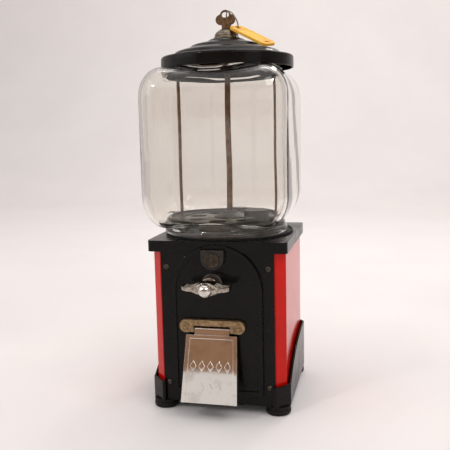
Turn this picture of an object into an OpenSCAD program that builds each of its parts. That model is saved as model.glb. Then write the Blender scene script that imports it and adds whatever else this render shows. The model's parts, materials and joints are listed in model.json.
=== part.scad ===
// Counter-top gumball machine with a square glass globe, a coin front and a lift-off locking lid.
// Millimetres. +X right, +Y back, +Z up. The origin is on the floor, under the centre rod.

/* [Body] */
// Outside width of the body shell
body_w = 134; // [128:1:144]
// Depth of the body, front panel face to rear wall
body_d = 136; // [130:1:146]
// Thickness of the body shell's sheet
shell_t = 1.2; // [0.9:0.1:1.6]
// Height of the body sheets between the base pan and the top plate
body_h = 160.4; // [156:0.2:176]
// Length of the 45 degree cut across each front corner
corner_cut = 10.5; // [9.5:0.5:13]
// Radius of the body's rear corners
rear_r = 8; // [5:0.5:14]
// Width of the shell's flange behind the front panel
flange_w = 12; // [11:0.5:14]
// Thickness of the front panel
panel_t = 1.8; // [1.4:0.1:2.4]

/* [Base] */
// Height of the rubber feet
foot_h = 9; // [8:0.5:14]
// Radius of the rubber feet
foot_r = 12.5; // [11:0.5:15]
// Distance of a foot's centre inside the body's side
foot_inset = 8.5; // [6:0.5:12]
// Thickness of the base pan's floor and walls
pan_t = 1.6; // [1.2:0.1:2.2]
// Gap between the body shell and the base pan's wall
pan_gap = 2.6; // [1.5:0.1:4]
// Height of the base pan's wall at the front corners
pan_front_h = 21; // [16:1:28]
// Height of the base pan's wall at the rear
pan_rear_h = 50; // [40:1:60]
// Spacing of the four stand bolt holes in the base pan
stand_pitch = 60; // [50:1:70]
// Radius of the stand bolt holes
stand_hole_r = 3.5; // [2.5:0.25:4]

/* [Top plate] */
// Height of the top plate's rim
plate_h = 11; // [9:0.5:14]
// Thickness of the top plate's deck
plate_t = 3; // [2:0.2:4]
// Thickness of the top plate's rim
rim_t = 1.4; // [1.2:0.1:2]
// Gap between the rim and the body at the sides
rim_gap = 1.6; // [0.8:0.1:2.2]
// Outer radius of the rim's corners
plate_r = 4.5; // [3:0.5:8]

/* [Globe] */
// Width of the square globe
globe_w = 149; // [146:1:158]
// Height of the globe between its bottom and its shoulder
globe_h = 159; // [140:1:175]
// Distance that the globe sits to the left of the centre rod
globe_left = 4.5; // [0:0.1:4.6]
// Thickness of the globe's glass
glass_t = 4; // [3:0.2:5]
// Rounding of the globe's upper corners
shoulder_r = 29; // [26:1:34]
// Rounding of the globe's lower corners
bottom_r = 33; // [28:1:36]
// Rounding of the globe's upright edges
edge_r = 24; // [20:1:28]
// Outer radius of the globe's necks
neck_r = 61.9; // [61.8:0.1:62]
// Thickness of the glass in the necks
neck_t = 2.8; // [2.4:0.1:3]
// Height of the globe's lower neck
lower_neck_h = 8.8; // [7:0.2:12]
// Height of the globe's upper neck
upper_neck_h = 8.4; // [7:0.2:10]
// Thickness of the rubber ring under the globe
gasket_t = 1.2; // [0.8:0.1:2]
// Height of the rubber ring's outer wall
gasket_h = 2.2; // [2:0.2:5]

/* [Rods] */
// Radius of the centre rod
rod_r = 3; // [2.8:0.1:3.2]
// Radius of the two side rods
side_rod_r = 1.7; // [1.5:0.1:1.9]
// Half the distance between the two side rods
side_rod_x = 52.2; // [51.8:0.1:52.4]
// Distance that the side rods sit to the left of the centre rod
side_rod_left = 1; // [0.8:0.1:1.4]

/* [Lid and lock] */
// Outer radius of the lid
lid_r = 68.2; // [68.2:0.1:72]
// Height of the lid's straight rim
lid_rim_h = 12; // [10:0.5:15]
// Rise of the lid from its rim to its flat top
lid_rise = 18; // [16:0.2:24]
// Thickness of the lid's sheet
lid_t = 1.4; // [1.2:0.1:1.6]
// Radius of the lock's flange on the lid
lock_r = 13.4; // [12.6:0.2:15]
// Height of the lock above the lid
lock_h = 10.2; // [9:0.2:12]
// Radius of the turning lock plug
plug_r = 4.5; // [4:0.1:4.8]
// Width of the key's neck
key_neck_w = 9.6; // [8:0.2:10.4]
// Thickness of the key
key_t = 2.2; // [1.8:0.1:2.4]
// Radius of the split key ring
key_ring_r = 10.1; // [10:0.1:10.6]
// Radius of the key ring's wire
key_wire_r = 0.8; // [0.6:0.05:0.9]
// Length of the key tag
tag_len = 49; // [46:1:54]
// Width of the key tag
tag_w = 20; // [18:1:22]
// Thickness of the key tag
tag_t = 2.6; // [2.4:0.1:3]

/* [Front] */
// Distance of the handle and the candy door left of the body's middle
front_left = 4.2; // [0:0.1:4.6]
// Distance of the coin entry left of the body's middle
entry_left = 2.1; // [0:0.1:3]
// Width of the arched front plate
arch_w = 91; // [88:1:96]
// Height of the arched plate's lower edge above the base pan's floor
arch_foot = 9.4; // [5:0.2:12]
// Thickness of the arched plate
arch_t = 2.5; // [2:0.1:3]
// Width of the bead around the arched plate
bead_w = 4.5; // [3.5:0.5:6]
// Height of the bead
bead_h = 1.5; // [1:0.1:2]
// Width of the coin entry
entry_w = 22.4; // [22:0.2:24]
// Depth of the coin entry
entry_d = 6.5; // [6:0.1:6.9]
// Diameter of the coin that the machine takes
coin_d = 19; // [17:0.5:19.5]
// Thickness of the coin
coin_t = 1.5; // [1.2:0.1:1.8]
// Depth of the handle's axis below the top plate's deck
handle_down = 39; // [37.4:0.2:41]
// Half length of the handle's wings
wing_len = 23; // [20:0.1:24]
// Depth of the handle's wings
wing_d = 15; // [11:0.5:16]
// Radius of the handle's ball
knob_r = 6.6; // [6:0.1:7]

/* [Candy door] */
// Height of the door's hinge above the base pan's floor
hinge_up = 75.8; // [73:0.2:78]
// Lean of the closed door from upright, in degrees
door_lean = 15.6; // [14:0.2:20]
// Length of the door, hinge to lower edge
door_len = 71; // [68:0.5:72]
// Width of the door at its top
door_top_w = 51; // [50:0.5:52]
// Width of the door at its lower edge
door_low_w = 56; // [54:0.5:58]
// Thickness of the door's sheet
door_t = 1.4; // [1.2:0.1:1.6]
// Width of the door's hinge knuckle
knuckle_w = 35; // [33:0.5:36]
// Radius of the hinge pin
hinge_pin_r = 1.1; // [0.9:0.1:1.3]
// Distance between the bracket's two screws
bracket_pitch = 53; // [52:0.5:56]

/* [Dispenser] */
// Radius of the candy wheel
wheel_r = 48.4; // [48:0.1:48.6]
// Thickness of the candy wheel
wheel_t = 13.5; // [12:0.5:15]
// Radius of the wheel's hub cap
hub_r = 17; // [16:0.5:18]
// Number of candy pockets
pockets = 8; // [6:1:8]
// Radius of each candy pocket
pocket_r = 9.25; // [8.5:0.25:9.25]
// Distance of the pockets from the centre
pocket_at = 37; // [36.6:0.1:37.2]
// Direction of the exit hole, in degrees from +X
exit_turn = -30; // [-34:1:-27]
// Thickness of the chute's sheet
chute_t = 1.2; // [1:0.1:1.4]

/* [Gearing] */
// Spur gear module
spur_m = 1; // [0.9:0.05:1.05]
// Teeth on the handle's pinion
drive_teeth = 12; // [12:1:12]
// Teeth on the idler gear
idler_teeth = 24; // [24:1:24]
// Teeth on the crown pinion
crown_pinion_teeth = 8; // [8:1:8]
// Teeth on the crown gear
crown_teeth = 32; // [32:1:32]
// Pitch radius of the crown gear's teeth
crown_r = 20; // [19.5:0.1:20.5]
// Radius of the handle shaft
shaft_r = 4; // [3.6:0.1:4.2]
// Radius of the jackshaft
jack_r = 2.5; // [2.2:0.1:2.6]

/* [Hidden] */
$fn = 64;
eps = 0.01;
run_gap = 0.06;   // radial clearance of a turning shaft
gap = 0.3;        // clearance between parts that move past each other
fit_gap = 0.15;   // radial clearance of a bolt in its hole

// Levels
floor_z = foot_h + pan_t;                 // top of the base pan's floor
under_z = floor_z + body_h;               // underside of the top plate's deck
deck_z = under_z + plate_t;               // top of the top plate
rim_z = deck_z - plate_h;                 // lower edge of the top plate's rim

// Body outline
half_w = body_w / 2;
half_d = body_d / 2;
shell_y = half_d - panel_t;               // front face of the shell's flanges
panel_half = half_w - corner_cut + 0.4;
foot_x = half_w - foot_inset;
foot_y = half_d - foot_inset - 1;

// Top plate outline
rim_end_gap = 0.6;
plate_x = half_w + rim_gap + rim_t;
plate_y = half_d + rim_end_gap + rim_t;

// Front
arch_y = half_d + arch_t;                 // face of the arched plate
arch_r = arch_w / 2;
arch_z0 = floor_z + arch_foot;
arch_top = under_z - 0.4;
handle_z = under_z - handle_down;
entry_top = rim_z + 2.6;
entry_r = entry_w / 2;
coin_slot_w = coin_d + 1.4;
coin_slot_t = coin_t + 1.2;
wing_y = arch_y + 11.5;                   // rear face of the handle's wings
handle_at = [-front_left, handle_z];
knob_y = wing_y + wing_d + 1.6;
shaft_y = knob_y - knob_r - 1;            // front end of the handle's shaft
bushing_r = shaft_r + 2;
panel_screw_z = [rim_z - 15.5, floor_z + 17.5];
panel_screw_x = (arch_r + panel_half) / 2;
m3_r = 1.5;
m3_head_r = 2.7;
m3_nut_r = 3.1;
m3_nut_t = 2.4;

// Candy door
pin_y = arch_y + 2.6;
pin_z = floor_z + hinge_up;
knuckle_r = 2.3;
bracket_d = 5;
bracket_lobe_r = 6.5;
bracket_z = pin_z + 3.6;
bracket_bar = 6;
knuckle_gap = 0.6;
pin_half = knuckle_w / 2 + knuckle_gap + 2.6;
door_shoulder = 5.4;
door_rib = 1.2;
door_rib_w = 4;
door_bend = 9;
mouth_w = 40;
mouth_z = floor_z + 17.4;
mouth_h = 45;

// Globe
globe_half = globe_w / 2;
globe_z = deck_z + gasket_t + lower_neck_h;
globe_top = globe_z + globe_h;
neck_top = globe_top + upper_neck_h;
neck_in = neck_r - neck_t;
ring_r = neck_in - 0.4;                   // largest ring that passes the neck
ring_edge = 2.6;                          // width of the hopper ring's raised edge
filling_r = ring_r - 18.7;                // hole in the plate under the globe's mouth
lid_ledge_r = neck_r - 4.5;               // inner edge of the lid's ledge
gasket_in = neck_r + 3.8;
gasket_left = globe_left - 3.6;
plate_drop = 15.4;
upper_t = 1.6;
upper_z = neck_top - plate_drop;          // underside of the plate inside the globe
lid_z = neck_top + gap;                   // ledge that rests on the globe's neck
lid_low = lid_z - 8.7;
lid_in = lid_r - lid_t;
lid_top = lid_low + lid_rim_h + lid_rise;

// Dispenser
exit_x = pocket_at * cos(exit_turn);
exit_y = pocket_at * sin(exit_turn);
exit_r = pocket_r + 0.95;
tube_r = exit_r + chute_t;
washer_t = 0.4;
wheel_z = deck_z + washer_t + 0.1;
wheel_top = wheel_z + wheel_t;
hopper_in = wheel_r + 0.6;
hopper_z = wheel_top + 1;
sleeve_r = 8;

// Mechanism, front to back
coin_wheel_y = shell_y - 0.5;
coin_wheel_t = 2.5;
ratchet_y = coin_wheel_y - coin_wheel_t;
ratchet_t = 2;
drive_y = ratchet_y - ratchet_t;
drive_t = 5;
frame_y = drive_y - drive_t - gap;
frame_t = 2;
frame_back = frame_y - frame_t;
frame_half = 31;
coin_wheel_r = coin_d + 1;
post_x = 27;
notch_r = coin_wheel_r + 2;
notch_dir = 90 - asin((front_left - entry_left) / notch_r);
post_rise = 19.5;                         // lower posts above the bracket's screws
post_z = [bracket_z + post_rise, handle_z + 25];
post_r = 3.5;
frame_edge = 5;                           // plate around the outer posts
drive_r = drive_teeth * spur_m / 2;
idler_r = idler_teeth * spur_m / 2;
jack_z = handle_z + sqrt(pow(drive_r + idler_r, 2) - pow(front_left, 2));
mesh_dir = atan2(jack_z - handle_z, front_left);
crown_m = 2 * crown_r / crown_teeth;
crown_pinion_r = crown_pinion_teeth * crown_m / 2;
crown_z = jack_z + crown_pinion_r;        // pitch plane of the crown gear
crown_face = 6;
crown_in = crown_r - 2.5;
crown_out = crown_in + crown_face;
crown_disc_z = crown_z + 1.7;
crown_disc_t = 2.6;
carrier_y = 13.5;                         // rear bearing of the jackshaft
carrier_t = 2.5;
ratchet_r = 14;
pawl_from_axis = [-20, -15];
pawl_at = handle_at + pawl_from_axis;
pawl_low = 12.5;                          // frame plate below the pawl's pin
carrier_rivet_z = handle_z - drive_r - spur_m - 3;

// Lock and key
barrel_r = 10;
barrel_z = lid_top - 15;
plug_z = lid_top - 4.4;
cam_r = 7.5;
cam_z = barrel_z + 1.2;
cam_t = 2.3;
cup_gap = 0.3;
rod_neck_r = 1.4;
rod_head = [8, 2.8, 3];
lock_top = lid_top + lock_h;
key_z = lock_top + 0.5;
bow_x = -0.9;
key_hole = [bow_x, key_z + 13.9];
key_bit = 6.4;
tag_dir = -25;
tag_slope = 26.3;
tag_roll = 9;

// ---------- helpers ----------

// Extrudes a shape drawn in X and Z from y0 back to y1
module along_y(y0, y1) {
  translate([0, y1, 0]) rotate([90, 0, 0]) linear_extrude(y1 - y0) children();
}

// Extrudes a shape drawn in Y and Z from x0 to x1
module along_x(x0, x1) {
  translate([x0, 0, 0]) rotate([90, 0, 90]) linear_extrude(x1 - x0) children();
}

module tube(r_out, r_in, h) {
  difference() {
    cylinder(r = r_out, h = h);
    translate([0, 0, -1]) cylinder(r = r_in, h = h + 2);
  }
}

// Moves outlines outward from the body by g, keeping the corner cuts parallel
function cut_at(g) = corner_cut + (2 - sqrt(2)) * g;

// Plan with cut front corners and round rear corners
module plan(hx, front, rear, cut, r) {
  polygon([[-hx + cut, -front], [hx - cut, -front], [hx, -front + cut],
           [hx, rear - r], [-hx, rear - r], [-hx, -front + cut]]);
  translate([-hx + r, 0]) square([2 * (hx - r), rear]);
  for (s = [-1, 1]) translate([s * (hx - r), rear - r]) circle(r);
}

module rounded(hx, hy, r) {
  translate([-hx, -hy + r]) square([2 * hx, 2 * (hy - r)]);
  translate([-hx + r, -hy]) square([2 * (hx - r), 2 * hy]);
  for (sx = [-1, 1], sy = [-1, 1]) translate([sx * (hx - r), sy * (hy - r)]) circle(r);
}

// Arched outline in X and Z, grown by g
module arch(g) {
  r = arch_r + g;
  zc = arch_top - arch_r;
  translate([-r, arch_z0 - g]) square([2 * r, zc - arch_z0 + g]);
  translate([0, zc]) circle(r);
}

// One gear tooth every full turn / n; widths are measured at the root and the tip
module toothed(n, root_r, tip_r, root_w, tip_w, turn = 0) {
  polygon([for (i = [0:n - 1], k = [0:3])
    let (a = turn + i * 360 / n,
         r = k == 1 || k == 2 ? tip_r : root_r,
         w = k == 1 || k == 2 ? tip_w : root_w,
         s = k < 2 ? -1 : 1)
    [r * cos(a) - s * w / 2 * sin(a), r * sin(a) + s * w / 2 * cos(a)]]);
}

module spur(n, turn) {
  pitch = n * spur_m / 2;
  toothed(n, pitch - 1.2 * spur_m, pitch + 0.9 * spur_m, 1.75 * spur_m, 0.65 * spur_m, turn);
}

// Slotted screw in local Z: the head sits above z = 0 and the shank runs down
module slotted_screw(r, head_r, head_h, length) {
  difference() {
    union() {
      rotate_extrude() polygon([[0, 0], [head_r, 0], [head_r, head_h * 0.45],
                                [head_r * 0.72, head_h], [0, head_h]]);
      translate([0, 0, -length]) cylinder(r = r, h = length + eps);
    }
    translate([-head_r - 1, -0.4, head_h * 0.45]) cube([2 * head_r + 2, 0.8, head_h]);
  }
}

// Moves its children in line with the handle and the door
module front() {
  translate([-front_left, 0, 0]) children();
}

// Places its children at the two side rods
module side_spots() {
  for (s = [-1, 1]) translate([s * side_rod_x - side_rod_left, 0, 0]) children();
}

// Places its children at the four corners of a rectangle
module corners(x, y) {
  for (sx = [-1, 1], sy = [-1, 1]) translate([sx * x, sy * y]) children();
}

// ---------- base ----------

// Height of the pan's wall at y, a curve that rises fast and then levels
function wall_z(y) =
  let (u = min(1, max(0, (y + half_d - corner_cut) / (2 * half_d - corner_cut))))
  foot_h + pan_front_h + (pan_rear_h - pan_front_h) * (1 - pow(1 - u, 3));

module base_pan() {
  out = pan_gap + pan_t;
  steps = 18;
  y0 = -half_d - out - 1;
  y1 = half_d + out + 1;
  color("#15130f") difference() {
    union() {
      translate([0, 0, foot_h]) linear_extrude(pan_t)
        plan(half_w + out, half_d + out, half_d + out, cut_at(out), rear_r + out);
      intersection() {
        translate([0, 0, foot_h]) linear_extrude(pan_rear_h) difference() {
          plan(half_w + out, half_d + out, half_d + out, cut_at(out), rear_r + out);
          plan(half_w + pan_gap, half_d + pan_gap, half_d + pan_gap, cut_at(pan_gap),
               rear_r + pan_gap);
        }
        along_x(-half_w - out - 1, half_w + out + 1)
          polygon(concat([[y1, foot_h], [y0, foot_h]],
                         [for (i = [0:steps]) let (y = y0 + (y1 - y0) * i / steps)
                            [y, wall_z(y)]]));
      }
    }
    // open front, behind which the front panel stands
    translate([-panel_half + 1.6, y0, floor_z]) cube([2 * panel_half - 3.2, 8, pan_rear_h]);
    translate([-panel_half + 1.6, y0, foot_h - 1])
      cube([2 * panel_half - 3.2, -half_d - y0, pan_rear_h]);
    corners(foot_x, foot_y) translate([0, 0, foot_h - 1])
      cylinder(r = 2 + fit_gap, h = pan_t + 2);
    corners(stand_pitch / 2, stand_pitch / 2) translate([0, 0, foot_h - 1])
      cylinder(r = stand_hole_r, h = pan_t + 2);
    translate([0, 0, foot_h - 1]) cylinder(r = rod_r + fit_gap, h = pan_t + 2);
  }
}

foot_screw_r = 2;
foot_seat = 4;

module feet() {
  color("#1b1a19") corners(foot_x, foot_y) rotate_extrude() polygon([
    [5, 0], [foot_r - 2.6, 0], [foot_r - 0.8, 0.5], [foot_r, 1.8], [foot_r, foot_h * 0.56],
    [foot_r - 0.9, foot_h * 0.6], [foot_r - 0.9, foot_h * 0.68], [foot_r - 0.2, foot_h * 0.72],
    [foot_r - 0.2, foot_h], [foot_screw_r + fit_gap, foot_h], [foot_screw_r + fit_gap, foot_seat],
    [5, foot_seat]]);
}

module foot_screws() {
  color("#8a8680") corners(foot_x, foot_y) translate([0, 0, foot_seat]) mirror([0, 0, 1])
    slotted_screw(foot_screw_r, 3.9, 2.4, floor_z - foot_seat + 4.4);
}

module foot_nuts() {
  color("#8a8680") corners(foot_x, foot_y) translate([0, 0, floor_z]) difference() {
    cylinder(r = 3.7, h = 3.2, $fn = 6);
    translate([0, 0, -1]) cylinder(r = foot_screw_r, h = 6);
  }
}

// ---------- body ----------

module body_shell() {
  color("#c4281a") difference() {
    translate([0, 0, floor_z]) linear_extrude(body_h) difference() {
      plan(half_w, shell_y, half_d, corner_cut - panel_t, rear_r);
      plan(half_w - shell_t, shell_y - shell_t, half_d - shell_t, cut_at(-shell_t) - panel_t,
           rear_r - shell_t);
      translate([-panel_half + flange_w, -half_d]) square([2 * (panel_half - flange_w), 10]);
    }
    along_y(-half_d, -shell_y + shell_t + 1) panel_screw_holes();
  }
}

module panel_screw_holes() {
  for (s = [-1, 1], z = panel_screw_z) translate([s * panel_screw_x, z]) circle(m3_r + fit_gap);
}

module mouth(g) {
  translate([-mouth_w / 2 - g, mouth_z - g]) square([mouth_w + 2 * g, mouth_h + 2 * g]);
}

module coin_window(h) {
  intersection() {
    translate([-entry_left - coin_slot_w / 2, handle_z + 17]) square([coin_slot_w, h]);
    shield(entry_r - 1, entry_top + coin_d);
  }
}

module front_holes() {
  coin_window(15.5);
  translate([-front_left, 0]) {
    mouth(fit_gap);
    translate([0, handle_z]) circle(bushing_r);
    for (s = [-1, 1]) translate([s * bracket_pitch / 2, bracket_z]) circle(m3_r + fit_gap);
  }
}

module front_panel() {
  color("#15130f") along_y(-half_d, -shell_y) difference() {
    translate([-panel_half, floor_z]) square([2 * panel_half, body_h]);
    front_holes();
    panel_screw_holes();
    translate([-front_left, 0]) for (s = [-1, 1], z = post_z) translate([s * post_x, z])
      circle(m3_r);
  }
}

module panel_screws() {
  color("#4c4843") for (s = [-1, 1], z = panel_screw_z)
    translate([s * panel_screw_x, -half_d, z]) rotate([90, 0, 0])
      slotted_screw(m3_r, m3_head_r, 1.4, panel_t + shell_t + m3_nut_t + 0.8);
}

module m3_nut() {
  difference() {
    cylinder(r = m3_nut_r, h = m3_nut_t, $fn = 6);
    translate([0, 0, -1]) cylinder(r = m3_r, h = m3_nut_t + 2);
  }
}

module m3_nuts() {
  color("#8a8680") {
    for (s = [-1, 1], z = panel_screw_z)
      translate([s * panel_screw_x, -shell_y + shell_t, z]) rotate([-90, 0, 0]) m3_nut();
    front() for (s = [-1, 1])
      translate([s * bracket_pitch / 2, -shell_y, bracket_z]) rotate([-90, 0, 0]) m3_nut();
  }
}

// ---------- front plate and coin entry ----------

module arch_plate() {
  color("#1a1815") difference() {
    union() {
      along_y(-arch_y, -half_d) arch(0);
      along_y(-arch_y - bead_h, -arch_y + eps) difference() {
        arch(0);
        arch(-bead_w);
        translate([-entry_left - entry_r - 0.4, rim_z]) square([entry_w + 0.8, 20]);
      }
    }
    along_y(-arch_y - 5, -half_d + 1) {
      front_holes();
      translate([-front_left, 0]) rivet_spots() circle(0.9);
    }
  }
}

// Shield with a flat top and a half-round foot
module shield(r, top) {
  zc = entry_top - entry_w * 0.32;
  translate([-entry_left, zc]) {
    translate([-r, 0]) square([2 * r, top - zc]);
    intersection() {
      circle(r);
      translate([-r, -r]) square([2 * r, r + eps]);
    }
  }
}

module coin_entry() {
  color("#221f1b") difference() {
    along_y(-arch_y - entry_d, -arch_y) shield(entry_r, entry_top);
    along_y(-arch_y - entry_d - 1, -arch_y - entry_d + 1)
      shield(entry_r - 1.2, entry_top - 1.2);
    // coin slot, open at the top and towards the panel's window
    along_y(-arch_y - 1.4 - coin_slot_t, -arch_y - 1.4) coin_window(30);
    along_y(-arch_y - 2, -arch_y + 1) coin_window(15);
  }
}

module coin_emblem() {
  r = entry_r - 4;
  color("#6b4f34") translate([-entry_left, -arch_y - entry_d + 1, entry_top - entry_w * 0.41])
    rotate([90, 0, 0]) rotate_extrude()
      polygon([[0, 0], [r, 0], [r, 1.3], [r - 0.9, 1.3], [r - 1.2, 0.9], [3.2, 0.9], [2.9, 1.2],
               [0, 1.2]]);
}

module handle_bushing() {
  color("#2a2723") difference() {
    union() {
      along_y(-arch_y, -shell_y) translate(handle_at) circle(bushing_r);
      translate([-front_left, -arch_y, handle_z]) rotate([90, 0, 0]) rotate_extrude()
        polygon([[0, 0], [10.5, 0], [10.5, 0.5], [9.2, 1.5], [0, 1.5]]);
    }
    along_y(-arch_y - 3, -shell_y + 1) translate(handle_at) circle(shaft_r + run_gap);
  }
}

// ---------- handle and coin mechanism ----------

module wing_outline() {
  tip = 1.75;
  waist = 4.6;
  polygon([[-wing_len, -tip], [-wing_len, tip], [-wing_len * 0.62, tip * 1.25],
           [-wing_len * 0.36, waist], [0, knob_r + 0.9], [wing_len * 0.36, waist],
           [wing_len * 0.62, tip * 1.25], [wing_len, tip], [wing_len, -tip],
           [wing_len * 0.62, -tip * 1.25], [wing_len * 0.36, -waist], [0, -knob_r - 0.4],
           [-wing_len * 0.36, -waist], [-wing_len * 0.62, -tip * 1.25]]);
}

module handle() {
  rib_z = 0.9;
  hub_l = wing_y - arch_y - 1.5 - gap + eps;
  color("#cfcac2") translate([-front_left, 0, handle_z]) difference() {
    union() {
      along_y(-wing_y - wing_d, -wing_y) wing_outline();
      translate([0, -wing_y - eps, 0]) rotate([-90, 0, 0]) rotate_extrude()
        polygon([[0, 0], [8.6, 0], [7.6, 3], [7.6, hub_l], [0, hub_l]]);
    }
    along_y(-shaft_y, -arch_y) circle(shaft_r);
    translate([0, -knob_y, 0]) sphere(knob_r);
    // grooves along each wing's front
    for (s = [-1, 1], k = [-1, 1])
      translate([s * wing_len * 0.64, -wing_y - wing_d, k * rib_z])
        cube([wing_len * 0.6, 1.2, 0.6], center = true);
  }
}

module handle_knob() {
  color("#e6e3de") translate([-front_left, -knob_y, handle_z]) sphere(knob_r);
}

module handle_shaft() {
  color("#8a8680") along_y(-shaft_y, -frame_back - gap) translate(handle_at)
    circle(shaft_r);
}

module coin_wheel() {
  color("#9c8a63") along_y(-coin_wheel_y, -ratchet_y) translate(handle_at) difference() {
    circle(coin_wheel_r);
    rotate(notch_dir) translate([notch_r, 0]) circle(coin_d / 2 + 0.3);
    circle(shaft_r);
    for (a = [30, 150, 270]) rotate(a) translate([coin_wheel_r * 0.55, 0]) circle(2.4);
  }
}

module ratchet_wheel() {
  n = 16;
  color("#8f8b84") along_y(-ratchet_y, -drive_y) translate(handle_at) difference() {
    polygon([for (i = [0:n - 1], k = [0, 1])
      let (r = k == 0 ? ratchet_r : ratchet_r - 2, a = (i + 0.12 * k) * 360 / n)
      [r * cos(a), r * sin(a)]]);
    circle(shaft_r);
  }
}

module drive_pinion() {
  color("#b09a5a") along_y(-drive_y, -drive_y + drive_t) translate(handle_at) difference() {
    spur(drive_teeth, mesh_dir);
    circle(shaft_r);
  }
}

module frame_outline() {
  z0 = min(post_z[0] - frame_edge, pawl_at[1] - pawl_low);
  z1 = post_z[1] + frame_edge;
  translate([-front_left - frame_half, z0]) square([2 * frame_half, z1 - z0]);
}

module mechanism_frame() {
  color("#8d8a86") along_y(-frame_y, -frame_back) difference() {
    frame_outline();
    translate(handle_at) circle(shaft_r + run_gap);
    translate([0, jack_z]) circle(jack_r + run_gap);
    translate(pawl_at) circle(1.5);
    translate([-front_left, 0]) for (s = [-1, 1], z = post_z) translate([s * post_x, z])
      circle(m3_r);
    for (s = [-1, 1]) translate([s * 5, carrier_rivet_z]) circle(m3_r);
  }
}

// Posts riveted flush in the panel and headed behind the frame
module frame_posts() {
  color("#5a5651") front() for (s = [-1, 1], z = post_z) translate([s * post_x, 0, z]) {
    along_y(-half_d, -shell_y) circle(m3_r);
    along_y(-shell_y, -frame_y) circle(post_r);
    along_y(-frame_y, -frame_back) circle(m3_r);
    along_y(-frame_back, -frame_back + 0.9) circle(2.6);
  }
}

module gear_carrier() {
  w = 16;
  z = jack_z - idler_r - 1.5;
  color("#7f7c78") difference() {
    union() {
      along_y(-frame_back, -carrier_y + carrier_t) translate([-w / 2, z])
        square([w, carrier_t]);
      along_y(-frame_back, -frame_back + 1.6) translate([-w / 2, handle_z - 13])
        square([w, z - handle_z + 13 + eps]);
      along_y(-carrier_y, -carrier_y + carrier_t) translate([-w / 2, z])
        square([w, jack_z - z + 4.3]);
    }
    along_y(-carrier_y - 1, -carrier_y + carrier_t + 1) translate([0, jack_z])
      circle(jack_r + run_gap);
    along_y(-frame_back - 1, -frame_back + 3) for (s = [-1, 1])
      translate([s * 5, carrier_rivet_z]) circle(m3_r);
  }
}

module carrier_rivets() {
  color("#8a8680") for (s = [-1, 1]) translate([s * 5, 0, carrier_rivet_z]) {
    along_y(-frame_y - 0.8, -frame_y) circle(2.4);
    along_y(-frame_y, -frame_back + 1.6) circle(m3_r);
    along_y(-frame_back + 1.6, -frame_back + 2.4) circle(2.4);
  }
}

module pawl_pin() {
  color("#8a8680") along_y(-ratchet_y + gap, -frame_back) translate(pawl_at) circle(1.5);
}

module pawl_spring() {
  coils = 5;
  pitch = 0.9;
  y = -ratchet_y + ratchet_t + 0.1;
  color("#6f6b66") translate([pawl_at[0], y, pawl_at[1]]) rotate([-90, 0, 0]) rotate_extrude()
    polygon(concat([[1.56, coils * pitch], [1.56, 0]],
                   [for (i = [0:2 * coils]) [i % 2 == 0 ? 2.3 : 2.7, i * pitch / 2]]));
}

module pawl() {
  tip = handle_at - [ratchet_r + 0.35, 0];
  color("#9a8f7c") along_y(-ratchet_y + 0.3, -ratchet_y + ratchet_t - 0.1) difference() {
    union() {
      translate(pawl_at) circle(3.2);
      polygon([pawl_at + [3, 1], pawl_at + [-3, 1], tip + [-3.2, -1.5], tip + [-1.6, 1.6],
               tip + [0, 0.6], tip + [0, -0.6]]);
    }
    translate(pawl_at) circle(1.5 + run_gap);
  }
}

module jackshaft() {
  color("#8a8680") along_y(-drive_y - 0.2, -carrier_y + carrier_t + 1) translate([0, jack_z])
    circle(jack_r);
}

module idler_gear() {
  color("#b09a5a") along_y(-drive_y + 0.4, -drive_y + drive_t - 0.4) translate([0, jack_z])
    difference() {
      spur(idler_teeth, mesh_dir + 180 + 180 / idler_teeth);
      circle(jack_r);
      for (a = [0:60:300]) rotate(a) translate([6.6, 0]) circle(1.7);
    }
}

module crown_pinion() {
  color("#b09a5a") along_y(-crown_out + 0.2, -crown_in - 0.2) translate([0, jack_z])
    difference() {
      toothed(crown_pinion_teeth, crown_pinion_r - 1.45, crown_pinion_r + 1, 1.7, 0.8, 90);
      circle(jack_r);
    }
}

// ---------- candy door, cup and chute ----------

// y of the closed door's inner face at height z
function door_y(z) =
  let (n = knuckle_r - door_t, along = (pin_z + n * sin(door_lean) - z) / cos(door_lean))
  -pin_y - along * sin(door_lean) - n * cos(door_lean);

module bracket_outline() {
  half_gap = knuckle_w / 2 + knuckle_gap;
  bar_z = bracket_z + bracket_lobe_r - bracket_bar;
  for (s = [-1, 1]) {
    translate([s * bracket_pitch / 2, bracket_z]) circle(bracket_lobe_r);
    // ears that hold the pin, sloping into the lobes
    polygon([[s * half_gap, bar_z + 1], [s * half_gap, pin_z - 2.4],
             [s * (half_gap + 3), pin_z - 2.4],
             [s * (bracket_pitch / 2 - 1), bracket_z - bracket_lobe_r + 0.2],
             [s * bracket_pitch / 2, bar_z + 1]]);
  }
  translate([-bracket_pitch / 2, bar_z]) square([bracket_pitch, bracket_bar]);
}

module hinge_bracket() {
  color("#a98f68") front() difference() {
    along_y(-arch_y - bracket_d, -arch_y) difference() {
      bracket_outline();
      for (s = [-1, 1]) translate([s * bracket_pitch / 2, bracket_z]) circle(m3_r + fit_gap);
    }
    along_x(-pin_half, pin_half) translate([-pin_y, pin_z]) circle(hinge_pin_r);
  }
}

module bracket_screws() {
  color("#8f7a58") front() for (s = [-1, 1])
    translate([s * bracket_pitch / 2, -arch_y - bracket_d, bracket_z]) rotate([90, 0, 0])
      rotate([0, 0, s * 40])
        slotted_screw(m3_r, 3.2, 1.6, bracket_d + arch_t + panel_t + m3_nut_t + 0.8);
}

module hinge_pin() {
  color("#8a8680") front() along_x(-pin_half, pin_half) translate([-pin_y, pin_z])
    circle(hinge_pin_r);
}

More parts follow.
